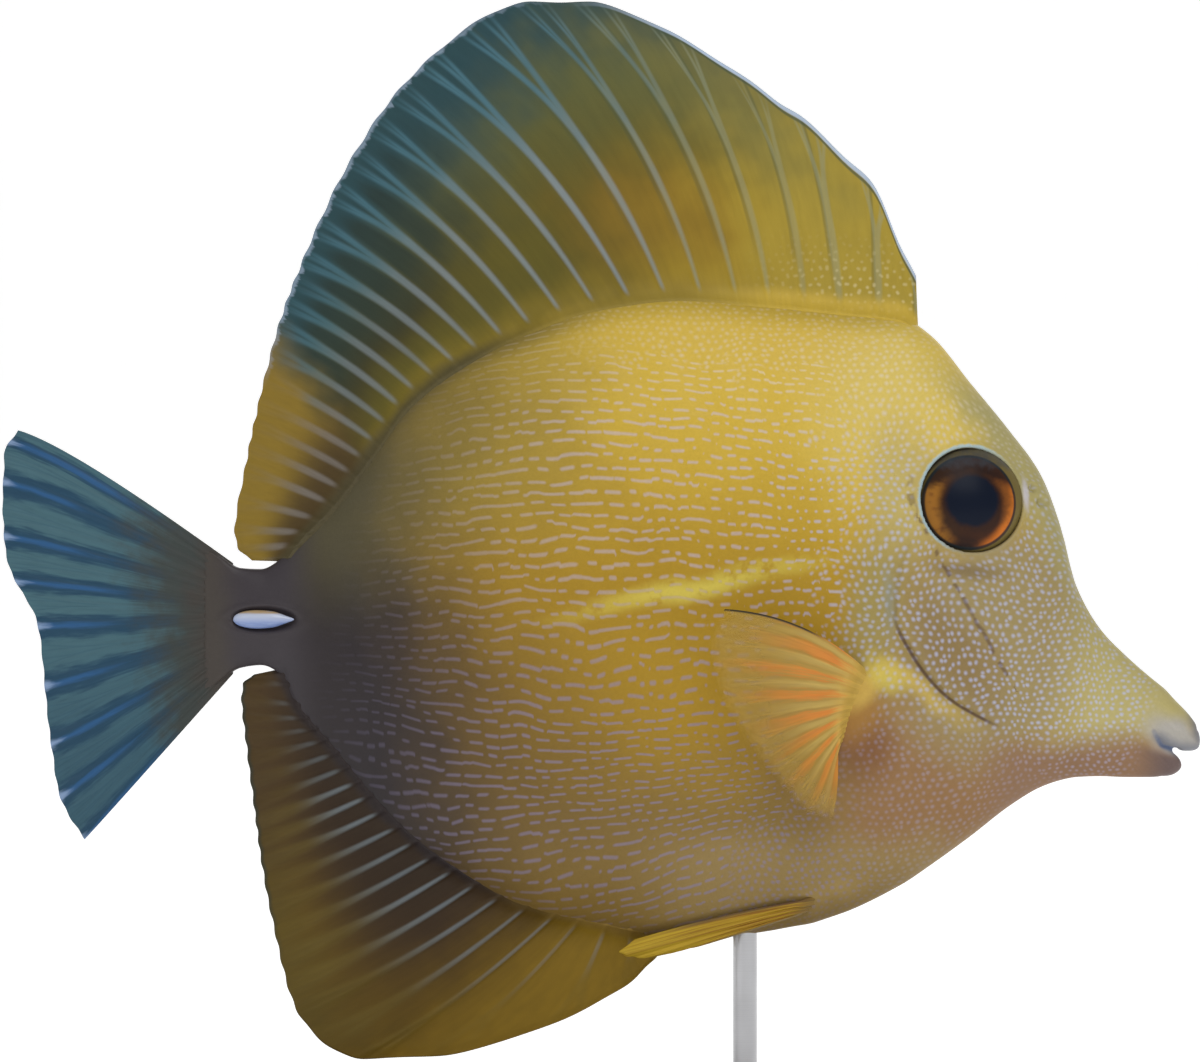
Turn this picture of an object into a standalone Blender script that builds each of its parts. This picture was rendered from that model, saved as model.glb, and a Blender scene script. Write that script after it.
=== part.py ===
# A scopas tang, a compressed reef surgeonfish, life size on a plain display stand.
# The head points along +X, the back along +Z and the right side faces -Y.
# Sizes below are in millimetres and become metres where a mesh is made.
# Heights with the word axis are measured from the line through the tail peduncle.

import math

import bmesh
import bpy
import numpy as np
from mathutils import Vector

MM = 0.001
GAP = 0.3

AXIS_HEIGHT = 58.2
RIDGE_HALF = 0.8

# One row for each cross-section of the whole body, from the tail to the snout:
# place along X, back above the axis, belly below the axis, half width.
BODY = (
    (-37.8, 6.1, 6.2, 1.10),
    (-36.0, 5.0, 5.0, 1.75),
    (-33.8, 4.9, 4.7, 2.15),
    (-32.2, 5.7, 5.4, 2.40),
    (-30.0, 8.5, 10.0, 2.80),
    (-27.0, 11.3, 13.3, 3.40),
    (-23.0, 16.4, 18.1, 4.20),
    (-19.0, 21.8, 22.2, 5.00),
    (-14.0, 25.5, 25.8, 6.00),
    (-8.0, 28.6, 28.9, 6.90),
    (0.0, 31.3, 30.9, 7.50),
    (8.0, 32.2, 32.2, 7.90),
    (16.0, 31.6, 31.4, 8.00),
    (24.0, 30.8, 29.5, 7.80),
    (30.0, 30.1, 26.7, 7.40),
    (33.0, 28.3, 24.7, 7.10),
    (37.0, 23.5, 21.8, 6.60),
    (41.0, 18.6, 18.7, 5.90),
    (44.0, 14.4, 16.9, 5.25),
    (46.0, 9.2, 16.2, 4.70),
    (47.5, 3.4, 15.9, 4.30),
    (50.0, -1.1, 15.8, 3.65),
    (52.5, -3.7, 15.9, 3.05),
    (55.0, -5.9, 15.9, 2.65),
    (56.5, -7.1, 15.8, 2.55),
    (57.5, -8.2, 15.5, 2.40),
    (58.5, -9.2, 15.0, 2.05),
    (59.1, -9.9, 14.4, 1.65),
    (59.6, -10.6, 13.7, 1.15),
    (59.95, -11.5, 12.9, 0.60),
)
RING_STEPS = 11
SECTION_STEP, CLOSE_STEP, SNOUT_STEP = 2.4, 1.0, 0.5
WAIST_END, FOREHEAD_START, SNOUT_START = -28.0, 42.0, 56.0

HEAD_CUT_TOP = (31.5, 29.9)
HEAD_CUT_BOTTOM = (24.6, -29.0)
PEDUNCLE_CUT_X = -29.4

# The mouth, slightly open, as places along X and above the axis: from the corner of the
# lips along the upper lip to the tip of the snout, and along the lower lip to the chin.
UPPER_LIP = ((55.7, -12.25), (56.6, -12.8), (57.9, -13.2), (59.2, -13.3), (60.3, -12.9))
LOWER_LIP = ((56.1, -12.75), (57.1, -13.4), (57.8, -13.95), (58.15, -14.8), (57.8, -15.4))
MOUTH_AHEAD, MOUTH_BELOW, MOUTH_HALF = 61.5, -18.0, 4.0

EYE_X, EYE_AXIS_Z = 37.0, 11.8
EYE_RADIUS, EYE_DEPTH = 5.5, 3.0
EYE_SUNK = 1.45
EYE_SEGMENTS, EYE_RINGS = 24, 10
RIM_RADIUS, RIM_THICK = 5.3, 0.42
RIM_STEPS, RIM_SIDES = 24, 6

NOSTRILS = ((43.0, 13.0, 0.50), (43.9, 11.6, 0.65))

# The free edge of the gill cover, top to bottom, and the line that it fades out at.
GILL_EDGE = ((30.8, 8.2), (29.5, 4.6), (29.1, 0.8), (31.0, -3.6), (34.4, -7.6), (39.4, -10.4))
GILL_FRONT = ((32.6, 7.8), (32.6, 4.4), (33.6, 1.4), (35.6, -1.8), (38.0, -4.6), (41.0, -8.0))
GILL_RAISED, GILL_SUNK = 0.42, 0.9
GILL_STEPS_LONG, GILL_STEPS_WIDE = 14, 3

SPINE_X, SPINE_AXIS_Z = -33.5, -0.1
SPINE_HALF_LENGTH, SPINE_HALF_HEIGHT, SPINE_HALF_THICK = 3.1, 0.9, 0.6
SPINE_PROUD = 0.28

MEMBRANE_HALF = 0.27
ROOT_HALF = 0.72
ROOT_SHARE = 0.14
RIDGE_RAISED = 0.24
RIDGE_SPREAD = 0.24
EDGE_NOTCH, FIRST_NOTCH = 0.3, 0.8

# Guide rays of the fins. Each row is the ray's number, where its root is, its tip
# along X and above the axis, and how far it bows forward as a share of its length.
DORSAL_RAYS = 28
DORSAL_GUIDES = (
    (0, 31.5, 31.5, 34.2, 0.00),
    (1, 28.0, 27.3, 43.4, 0.01),
    (2, 24.2, 21.5, 47.8, 0.03),
    (3, 20.6, 14.3, 53.8, 0.05),
    (4, 17.2, 6.6, 58.9, 0.06),
    (5, 14.0, -1.0, 61.65, 0.07),
    (6, 10.5, -7.0, 61.65, 0.07),
    (8, 3.4, -17.3, 55.8, 0.06),
    (11, -6.6, -24.8, 46.2, 0.05),
    (14, -14.1, -29.7, 36.0, 0.05),
    (17, -19.8, -32.2, 29.3, 0.04),
    (20, -23.4, -34.2, 21.5, 0.03),
    (23, -26.7, -35.6, 14.8, 0.02),
    (25, -29.2, -36.6, 8.8, 0.01),
    (26, -30.4, -36.2, 6.9, 0.00),
    (27, -31.6, -34.8, 5.75, 0.00),
)
ANAL_RAYS = 23
ANAL_GUIDES = (
    (0, 4.5, 5.7, -33.9, 0.00),
    (1, 2.8, 3.0, -36.5, 0.00),
    (2, 0.7, -3.5, -40.1, 0.01),
    (3, -1.7, -16.0, -43.8, 0.03),
    (4, -4.1, -23.6, -44.1, 0.03),
    (6, -9.7, -30.3, -39.4, 0.03),
    (9, -16.5, -32.5, -31.7, 0.02),
    (12, -21.7, -33.9, -24.4, 0.02),
    (15, -25.4, -34.7, -18.5, 0.01),
    (18, -28.6, -35.5, -12.0, 0.01),
    (20, -30.5, -35.9, -8.1, 0.01),
    (21, -31.3, -35.7, -6.5, 0.00),
    (22, -32.0, -34.6, -5.65, 0.00),
)
# The roots of the caudal rays are heights from the axis.
CAUDAL_RAYS = 18
CAUDAL_GUIDES = (
    (0, 5.9, -58.4, 18.8, 0.03),
    (2, 4.5, -59.8, 16.2, 0.03),
    (4, 3.2, -59.95, 10.6, 0.02),
    (6, 1.9, -59.4, 5.8, 0.01),
    (9, 0.0, -56.2, -0.9, 0.00),
    (12, -2.0, -55.1, -9.8, -0.01),
    (15, -4.3, -53.8, -17.8, -0.01),
    (17, -6.0, -51.3, -22.0, 0.00),
)
CAUDAL_BEND_AT = 0.8
CAUDAL_CURL = 2.2

# The pectoral rays fan out from a short root on the flank.
PECTORAL_RAYS = 15
PECTORAL_ROOT = ((26.4, -5.2), (23.9, -12.3))
PECTORAL_GUIDES = (
    (0, 12.0, 1.2, 0.09),
    (2, 10.5, -2.0, 0.07),
    (4, 11.2, -6.0, 0.04),
    (7, 14.2, -11.8, 0.01),
    (10, 17.7, -16.3, -0.02),
    (12, 20.2, -18.8, -0.04),
    (14, 22.7, -19.6, -0.05),
)
PECTORAL_FLARE = 40.0
PECTORAL_CUP = 0.012

PELVIC_RAYS = 6
PELVIC_ROOT = ((23.2, -27.4), (20.9, -28.9))
PELVIC_GUIDES = (
    (0, 3.4, -31.9, 0.02),
    (1, 1.9, -33.1, 0.01),
    (3, 4.0, -33.7, 0.00),
    (5, 9.0, -32.7, -0.01),
)
PELVIC_OUT_ROOT, PELVIC_OUT_MIDDLE, PELVIC_OUT_TIP = 3.2, 4.6, 3.4

BASE_LENGTH, BASE_WIDTH, BASE_THICK = 84.0, 54.0, 6.0
BASE_X = 4.0
BASE_CORNER = 20.0
BASE_BEVEL = 1.2
ROD_X, ROD_RADIUS = 14.5, 1.2
ROD_SIDES = 20
ROD_IN_BELLY = 3.5
COLLAR_RADIUS, COLLAR_HEIGHT = 3.6, 2.4


def finish(name, colour, roughness, metallic=0.0):
    """A plain material in the part's own colour."""
    material = bpy.data.materials.new(name)
    material.use_nodes = True
    shader = material.node_tree.nodes["Principled BSDF"]
    shader.inputs["Base Color"].default_value = (*colour, 1.0)
    shader.inputs["Roughness"].default_value = roughness
    shader.inputs["Metallic"].default_value = metallic
    return material


def smooth_through(rows):
    """A function of the first column that passes through the rows and never overshoots them."""
    table = np.array(rows, float)
    order = np.argsort(table[:, 0])
    at, values = table[order, 0], table[order, 1:]
    steps = np.diff(at)[:, None]
    rises = np.diff(values, axis=0) / steps
    slopes = np.vstack([rises[:1], np.zeros_like(rises[1:]), rises[-1:]])
    before, after = rises[:-1], rises[1:]
    same_way = before * after > 0
    harmonic = 2 * before * after / np.where(same_way, before + after, 1.0)
    slopes[1:-1] = np.where(same_way, harmonic, 0.0)

    def value(x):
        i = int(np.clip(np.searchsorted(at, x) - 1, 0, len(steps) - 1))
        step = steps[i]
        t = (x - at[i]) / step
        return (
            (2 * t**3 - 3 * t**2 + 1) * values[i]
            + (t**3 - 2 * t**2 + t) * step * slopes[i]
            + (3 * t**2 - 2 * t**3) * values[i + 1]
            + (t**3 - t**2) * step * slopes[i + 1]
        )

    return value


body_at = smooth_through(BODY)


def half_width_at(x, axis_z):
    """How far the body's side stands from the middle plane at a place seen from the side."""
    back, belly, half = body_at(x)
    middle, reach = (back - belly) / 2, (back + belly) / 2
    share = min(1.0, abs(axis_z - middle) / reach)
    return half * math.sqrt(1 - share * share)


def side_normal(x, axis_z):
    """The outward direction of the body's left side at that place."""
    d = 0.4
    along = (half_width_at(x + d, axis_z) - half_width_at(x - d, axis_z)) / (2 * d)
    upward = (half_width_at(x, axis_z + d) - half_width_at(x, axis_z - d)) / (2 * d)
    return Vector((-along, 1.0, -upward)).normalized()


def on_side(x, axis_z, side, out=0.0):
    """A point on the body's surface, or out from it. The side is 1 for left, -1 for right."""
    n = side_normal(x, axis_z)
    return Vector(
        (x + n.x * out, side * (half_width_at(x, axis_z) + n.y * out), AXIS_HEIGHT + axis_z + n.z * out)
    )


def make_object(name, points, faces, material, smooth=True):
    """An object from points in millimetres."""
    mesh = bpy.data.meshes.new(name)
    mesh.from_pydata([tuple(c * MM for c in p) for p in points], [], faces)
    mesh.update()
    if smooth:
        mesh.shade_smooth()
        mesh.set_sharp_from_angle(angle=math.radians(50))
    if material:
        mesh.materials.append(material)
    made = bpy.data.objects.new(name, mesh)
    bpy.context.scene.collection.objects.link(made)
    return made


def ring_of(x, back, belly, half, steps):
    """A cross-section across X, flat along its upper and lower ridge."""
    middle, reach = (back - belly) / 2, (back + belly) / 2
    flat = min(RIDGE_HALF, half * 0.75)
    last = math.acos(flat / half)
    left = []
    for j in range(steps + 1):
        t = last * (2 * j / steps - 1)
        z = AXIS_HEIGHT + middle + reach * math.sin(t) / math.sin(last)
        left.append((x, half * math.cos(t), z))
    return left + [(x, -y, z) for x, y, z in reversed(left)]


def lofted(name, rows, places, steps, material=None):
    """A closed solid through the cross-sections that the rows give at these places along X."""
    section = smooth_through(rows)
    rings = [ring_of(x, *section(x), steps) for x in places]
    around = len(rings[0])
    points = [p for ring in rings for p in ring]
    faces = []
    for i in range(len(rings) - 1):
        for j in range(around):
            k = (j + 1) % around
            a, b = i * around, (i + 1) * around
            faces.append((a + j, a + k, b + k, b + j))
    faces.append(tuple(reversed(range(around))))
    last = (len(rings) - 1) * around
    faces.append(tuple(range(last, last + around)))
    return make_object(name, points, faces, material)


def spaced(first, last, step):
    count = max(1, round((last - first) / step))
    return [first + (last - first) * i / count for i in range(count + 1)]


def body_places():
    """Cross-sections stand closer together round the tail's waist and where the forehead falls steeply."""
    tail, snout = BODY[0][0], BODY[-1][0]
    waist = spaced(tail, WAIST_END, CLOSE_STEP)[:-1]
    flank = spaced(WAIST_END, FOREHEAD_START, SECTION_STEP)[:-1]
    forehead = spaced(FOREHEAD_START, SNOUT_START, CLOSE_STEP)[:-1]
    return waist + flank + forehead + spaced(SNOUT_START, snout, SNOUT_STEP)


def cut_off(source, name, keep_behind=None, keep_ahead=None):
    """A copy of the body between planes. Each plane is a point and the direction along +X of its normal."""
    mesh = source.data.copy()
    made = bpy.data.objects.new(name, mesh)
    bpy.context.scene.collection.objects.link(made)
    shape = bmesh.new()
    shape.from_mesh(mesh)
    for plane, outer in ((keep_behind, True), (keep_ahead, False)):
        if plane is None:
            continue
        point, normal = plane
        parts = shape.verts[:] + shape.edges[:] + shape.faces[:]
        bmesh.ops.bisect_plane(
            shape,
            geom=parts,
            plane_co=Vector(point) * MM,
            plane_no=normal,
            clear_outer=outer,
            clear_inner=not outer,
        )
        rim = [e for e in shape.edges if e.is_boundary]
        bmesh.ops.holes_fill(shape, edges=rim, sides=0)
    shape.to_mesh(mesh)
    shape.free()
    return made


def apply_modifiers(target):
    graph = bpy.context.evaluated_depsgraph_get()
    result = bpy.data.meshes.new_from_object(target.evaluated_get(graph))
    target.modifiers.clear()
    target.data = result


def boolean(target, others, operation):
    """Joins the others to the target, or cuts them from it, and removes them."""
    helpers = bpy.data.collections.new("helpers")
    bpy.context.scene.collection.children.link(helpers)
    for other in others:
        bpy.context.scene.collection.objects.unlink(other)
        helpers.objects.link(other)
    step = target.modifiers.new(operation, "BOOLEAN")
    step.operation = operation
    step.operand_type = "COLLECTION"
    step.collection = helpers
    step.solver = "EXACT"
    bpy.context.view_layer.update()
    apply_modifiers(target)
    for other in others:
        bpy.data.objects.remove(other)
    bpy.data.collections.remove(helpers)


def keep_largest(target):
    """Drops every loose surface but the largest."""
    shape = bmesh.new()
    shape.from_mesh(target.data)
    left = set(shape.faces)
    groups = []
    while left:
        group, edge_of = set(), [left.pop()]
        while edge_of:
            face = edge_of.pop()
            group.add(face)
            for edge in face.edges:
                for other in edge.link_faces:
                    if other in left:
                        left.discard(other)
                        edge_of.append(other)
        groups.append(group)
    groups.sort(key=lambda g: sum(f.calc_area() for f in g))
    for group in groups[:-1]:
        bmesh.ops.delete(shape, geom=list(group), context="FACES")
    shape.to_mesh(target.data)
    shape.free()


def tube_ring(name, centres, thick, sides):
    """A closed ring of round section along the centres."""
    count = len(centres)
    middle = sum(centres, Vector()) / count
    points, faces = [], []
    for i, centre in enumerate(centres):
        along = (centres[(i + 1) % count] - centres[i - 1]).normalized()
        outward = (centre - middle).normalized()
        up = along.cross(outward).normalized()
        for j in range(sides):
            a = 2 * math.pi * j / sides
            points.append(centre + (outward * math.cos(a) + up * math.sin(a)) * thick)
    for i in range(count):
        a, b = i * sides, (i + 1) % count * sides
        for j in range(sides):
            k = (j + 1) % sides
            faces.append((a + j, a + k, b + k, b + j))
    return outward_facing(make_object(name, points, faces, None))


def outward_facing(target):
    shape = bmesh.new()
    shape.from_mesh(target.data)
    bmesh.ops.recalc_face_normals(shape, faces=shape.faces)
    shape.to_mesh(target.data)
    shape.free()
    return target


def globe(name, centre, axis, radius, depth, material=None, segments=EYE_SEGMENTS, rings=EYE_RINGS):
    """An eyeball, flattened along the axis that it looks along."""
    shape = bmesh.new()
    bmesh.ops.create_uvsphere(shape, u_segments=segments, v_segments=rings, radius=1.0)
    turn = Vector((0, 0, 1)).rotation_difference(axis).to_matrix()
    for v in shape.verts:
        v.co = turn @ Vector((v.co.x * radius, v.co.y * radius, v.co.z * depth)) + centre
    points = [v.co.copy() for v in shape.verts]
    faces = [[v.index for v in f.verts] for f in shape.faces]
    shape.free()
    return make_object(name, points, faces, material)


def eye_place(side):
    """The centre of an eyeball and the way that it looks."""
    n = side_normal(EYE_X, EYE_AXIS_Z)
    centre = on_side(EYE_X, EYE_AXIS_Z, side, -EYE_SUNK)
    return centre, Vector((n.x, side * n.y, n.z))


def eye_rim(side):
    """The fold of skin round the eye, which lies on the head all the way round."""
    centres = []
    for i in range(RIM_STEPS):
        a = 2 * math.pi * i / RIM_STEPS
        x = EYE_X + RIM_RADIUS * math.cos(a)
        z = EYE_AXIS_Z + RIM_RADIUS * math.sin(a)
        centres.append(on_side(x, z, side))
    return tube_ring("rim", centres, RIM_THICK, RIM_SIDES)


def along_line(points, count):
    """Evenly spaced places along a line through a few points seen from the side."""
    lengths = [0.0]
    for a, b in zip(points, points[1:]):
        lengths.append(lengths[-1] + math.dist(a, b))
    line = smooth_through([(s, *p) for s, p in zip(lengths, points)])
    return [line(lengths[-1] * i / (count - 1)) for i in range(count)]


def gill_cover(side):
    """A plate that stands proud of the head along its free edge and sinks into it in front."""
    edge = along_line(GILL_EDGE, GILL_STEPS_LONG + 1)
    front = along_line(GILL_FRONT, GILL_STEPS_LONG + 1)
    outer, inner = [], []
    for i in range(GILL_STEPS_LONG + 1):
        end = math.sin(math.pi * i / GILL_STEPS_LONG) ** 0.5
        for j in range(GILL_STEPS_WIDE + 1):
            t = j / GILL_STEPS_WIDE
            x, z = edge[i] * (1 - t) + front[i] * t
            raised = (GILL_RAISED + 0.3) * end * (1 - t) - 0.3
            outer.append(on_side(x, z, side, raised))
            inner.append(on_side(x, z, side, -GILL_SUNK))
    return closed_sheet("gill_cover", outer, inner, GILL_STEPS_LONG + 1, GILL_STEPS_WIDE + 1, None)


def closed_sheet(name, front, back, rows, columns, material):
    """A thin solid between two grids of points, split into triangles alike on both faces."""
    faces, behind = [], len(front)
    for i in range(rows - 1):
        for j in range(columns - 1):
            a, b = i * columns + j, i * columns + j + 1
            c, d = a + columns, b + columns
            faces += [(a, b, d), (a, d, c)]
            faces += [(behind + a, behind + d, behind + b), (behind + a, behind + c, behind + d)]
    rim = [j for j in range(columns)]
    rim += [i * columns + columns - 1 for i in range(1, rows)]
    rim += [(rows - 1) * columns + j for j in range(columns - 2, -1, -1)]
    rim += [i * columns for i in range(rows - 2, 0, -1)]
    for a, b in zip(rim, rim[1:] + rim[:1]):
        faces += [(a, behind + b, b), (a, behind + a, behind + b)]
    return outward_facing(make_object(name, front + back, faces, material))


def ray_columns(rays):
    """Where the fin's mesh lines run, in ray numbers: on each ray and at the foot of its ridge."""
    columns = [0.0, RIDGE_SPREAD]
    for i in range(1, rays - 1):
        columns += [i - RIDGE_SPREAD, float(i), i + RIDGE_SPREAD]
    return columns + [rays - 1 - RIDGE_SPREAD, rays - 1.0]


def fin(name, rays, place, rows, material, first_notch=0.0):
    """A fin whose rays are ridges in its own surface. The place is a function of ray number and share of length."""
    columns = ray_columns(rays)
    shares = [(j / rows) ** 1.15 for j in range(rows + 1)]
    middle = []
    for c in columns:
        on_ray = abs(c - round(c)) < 1e-6
        length = (place(c, 1.0) - place(c, 0.0)).length
        depth = EDGE_NOTCH + first_notch * max(0.0, 1 - c / 2)
        notch = 0.0 if on_ray else depth / max(length, 1.0)
        middle.append([place(c, share * (1 - notch * share)) for share in shares])
    front, back = [], []
    for i, c in enumerate(columns):
        on_ray = abs(c - round(c)) < 1e-6
        for j, share in enumerate(shares):
            across = middle[min(i + 1, len(columns) - 1)][j] - middle[max(i - 1, 0)][j]
            along = middle[i][min(j + 1, rows)] - middle[i][max(j - 1, 0)]
            n = across.cross(along).normalized()
            root = max(0.0, 1 - share / ROOT_SHARE)
            half = MEMBRANE_HALF + (ROOT_HALF - MEMBRANE_HALF) * root
            half += RIDGE_RAISED * (1 - 0.7 * share) * on_ray * (1 - root)
            front.append(middle[i][j] + n * half)
            back.append(middle[i][j] - n * half)
    return closed_sheet(name, front, back, len(columns), rows + 1, material)


def bowed(root, tip, bow, share, most_at=0.5):
    """A point on a ray whose middle leans to the right of its way from root to tip, seen from the right side."""
    chord = tip - root
    sideways = Vector((chord.z, 0, -chord.x))
    bend = root.lerp(tip, most_at) + sideways * (2 * bow)
    return root * (1 - share) ** 2 + bend * (2 * share * (1 - share)) + tip * share**2


def median_fin(guides, edge, way):
    """The places on a fin that stands on the ridge of the back or the belly."""
    guide = smooth_through(guides)

    def place(number, share):
        root_x, tip_x, tip_z, bow = guide(number)
        d = 0.2
        slope = (edge(root_x + d) - edge(root_x - d)) / (2 * d)
        away = Vector((-slope, 0, 1)).normalized() * way * GAP
        root = Vector((root_x, 0, AXIS_HEIGHT + edge(root_x))) + away
        tip = Vector((tip_x, 0, AXIS_HEIGHT + tip_z))
        return bowed(root, tip, bow * way, share)

    return place


def caudal_place(number, share):
    root_z, tip_x, tip_z, bow = caudal_guide(number)
    root = Vector((BODY[0][0] - GAP, 0, AXIS_HEIGHT + root_z))
    tip = Vector((tip_x, 0, AXIS_HEIGHT + tip_z))
    point = bowed(root, tip, bow, share, CAUDAL_BEND_AT)
    point.y = CAUDAL_CURL * share**2 * math.sin(math.pi * (number / (CAUDAL_RAYS - 1) - 0.5)) * -1
    return point


caudal_guide = smooth_through(CAUDAL_GUIDES)
pectoral_guide = smooth_through(PECTORAL_GUIDES)
pelvic_guide = smooth_through(PELVIC_GUIDES)


def pectoral_fin_place(side):
    """The fan leaves the flank at an angle and cups back towards it."""
    top, bottom = (Vector((x, 0, AXIS_HEIGHT + z)) for x, z in PECTORAL_ROOT)
    hinge = (top - bottom).normalized()
    rearward = Vector((-hinge.z, 0, hinge.x))
    flare = math.tan(math.radians(PECTORAL_FLARE))

    def place(number, share):
        tip_x, tip_z, bow = pectoral_guide(number)
        root = top.lerp(bottom, number / (PECTORAL_RAYS - 1))
        tip = Vector((tip_x, 0, AXIS_HEIGHT + tip_z))
        point = bowed(root, tip, bow, share)
        away = (point - root).length
        outward = max(away * 0.55, (point - root).dot(rearward))
        seat = half_width_at(root.x, root.z - AXIS_HEIGHT) + GAP + ROOT_HALF
        point.y = side * (seat + outward * flare - PECTORAL_CUP * outward**2)
        return point

    return place


def pelvic_fin_place(side):
    """The blade lies back along the belly, clear of its side and of the rod."""
    top, bottom = (Vector((x, 0, AXIS_HEIGHT + z)) for x, z in PELVIC_ROOT)

    def place(number, share):
        tip_x, tip_z, bow = pelvic_guide(number)
        root = top.lerp(bottom, number / (PELVIC_RAYS - 1))
        tip = Vector((tip_x, 0, AXIS_HEIGHT + tip_z))
        point = bowed(root, tip, bow, share)
        seat = half_width_at(root.x, root.z - AXIS_HEIGHT) + GAP + ROOT_HALF
        out = seat * (1 - share) ** 2
        out += 2 * share * (1 - share) * PELVIC_OUT_MIDDLE + share**2 * PELVIC_OUT_TIP
        point.y = side * out
        return point

    return place


def tail_spine(name, side, grown, material):
    """The white blade that lies in its groove with the point forward."""
    shape = bmesh.new()
    bmesh.ops.create_uvsphere(shape, u_segments=16, v_segments=8, radius=1.0)
    n = side_normal(SPINE_X, SPINE_AXIS_Z)
    centre = on_side(SPINE_X, SPINE_AXIS_Z, side, SPINE_PROUD - SPINE_HALF_THICK * 0.5)
    along = Vector((n.y, -side * n.x, 0)).normalized()
    outward = Vector((n.x, side * n.y, 0)).normalized()
    points = []
    for v in shape.verts:
        t = v.co.z
        taper = 1.0 - 0.22 * t
        points.append(
            centre
            + along * t * (SPINE_HALF_LENGTH + grown)
            + Vector((0, 0, 1)) * v.co.x * (SPINE_HALF_HEIGHT * taper + grown)
            + outward * v.co.y * (SPINE_HALF_THICK + grown)
        )
    faces = [[v.index for v in f.verts] for f in shape.faces]
    shape.free()
    return outward_facing(make_object(name, points, faces, material))


def mouth():
    """What the open mouth takes from the snout, the same right across it."""
    outline = list(UPPER_LIP) + [(MOUTH_AHEAD, UPPER_LIP[-1][1]), (MOUTH_AHEAD, MOUTH_BELOW)]
    outline += [(LOWER_LIP[-1][0], MOUTH_BELOW)] + list(reversed(LOWER_LIP))
    count = len(outline)
    points = [(x, y, AXIS_HEIGHT + z) for y in (-MOUTH_HALF, MOUTH_HALF) for x, z in outline]
    faces = [tuple(range(count)), tuple(reversed(range(count, 2 * count)))]
    for i in range(count):
        k = (i + 1) % count
        faces.append((i, k, count + k, count + i))
    return outward_facing(make_object("mouth", points, faces, None))


def build_body(skin):
    whole = lofted("whole", BODY, body_places(), RING_STEPS, skin)
    top, bottom = (Vector((x, 0, AXIS_HEIGHT + z)) for x, z in (HEAD_CUT_TOP, HEAD_CUT_BOTTOM))
    down = (bottom - top).normalized()
    ahead = Vector((-down.z, 0, down.x))
    half = ahead * (GAP / 2)
    peduncle_cut = Vector((PEDUNCLE_CUT_X, 0, AXIS_HEIGHT))
    forward = Vector((1, 0, 0))
    head = cut_off(whole, "head", keep_ahead=(top + half, ahead))
    torso = cut_off(
        whole,
        "torso",
        keep_behind=(top - half, ahead),
        keep_ahead=(peduncle_cut + forward * (GAP / 2), forward),
    )
    tail = cut_off(whole, "tail_peduncle", keep_behind=(peduncle_cut - forward * (GAP / 2), forward))
    bpy.data.objects.remove(whole)
    return head, torso, tail


def build_head(head):
    added = []
    for side in (-1, 1):
        added += [eye_rim(side), gill_cover(side)]
    boolean(head, added, "UNION")
    cutters = [mouth()]
    for side in (-1, 1):
        centre, axis = eye_place(side)
        cutters.append(globe("socket", centre, axis, EYE_RADIUS + GAP, EYE_DEPTH + GAP))
        for x, z, radius in NOSTRILS:
            n = side_normal(x, z)
            n.y *= side
            cutters.append(globe("nostril", on_side(x, z, side), n, radius, radius, None, 8, 6))
    boolean(head, cutters, "DIFFERENCE")
    keep_largest(head)


def build_fins(membrane, bright):
    back = lambda x: body_at(x)[0]
    belly = lambda x: -body_at(x)[1]
    fin("dorsal_fin", DORSAL_RAYS, median_fin(DORSAL_GUIDES, back, 1), 7, membrane, FIRST_NOTCH)
    fin("anal_fin", ANAL_RAYS, median_fin(ANAL_GUIDES, belly, -1), 6, membrane)
    fin("caudal_fin", CAUDAL_RAYS, caudal_place, 7, membrane)
    for side, word in ((1, "left"), (-1, "right")):
        fin("pectoral_fin_" + word, PECTORAL_RAYS, pectoral_fin_place(side), 6, bright)
        fin("pelvic_fin_" + word, PELVIC_RAYS, pelvic_fin_place(side), 6, bright)


def cylinder(name, x, low, high, radius, material):
    points, faces = [], []
    for z in (low, high):
        for i in range(ROD_SIDES):
            a = 2 * math.pi * i / ROD_SIDES
            points.append((x + radius * math.cos(a), radius * math.sin(a), z))
    for i in range(ROD_SIDES):
        k = (i + 1) % ROD_SIDES
        faces.append((i, k, ROD_SIDES + k, ROD_SIDES + i))
    faces.append(tuple(reversed(range(ROD_SIDES))))
    faces.append(tuple(range(ROD_SIDES, 2 * ROD_SIDES)))
    return make_object(name, points, faces, material)


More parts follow.
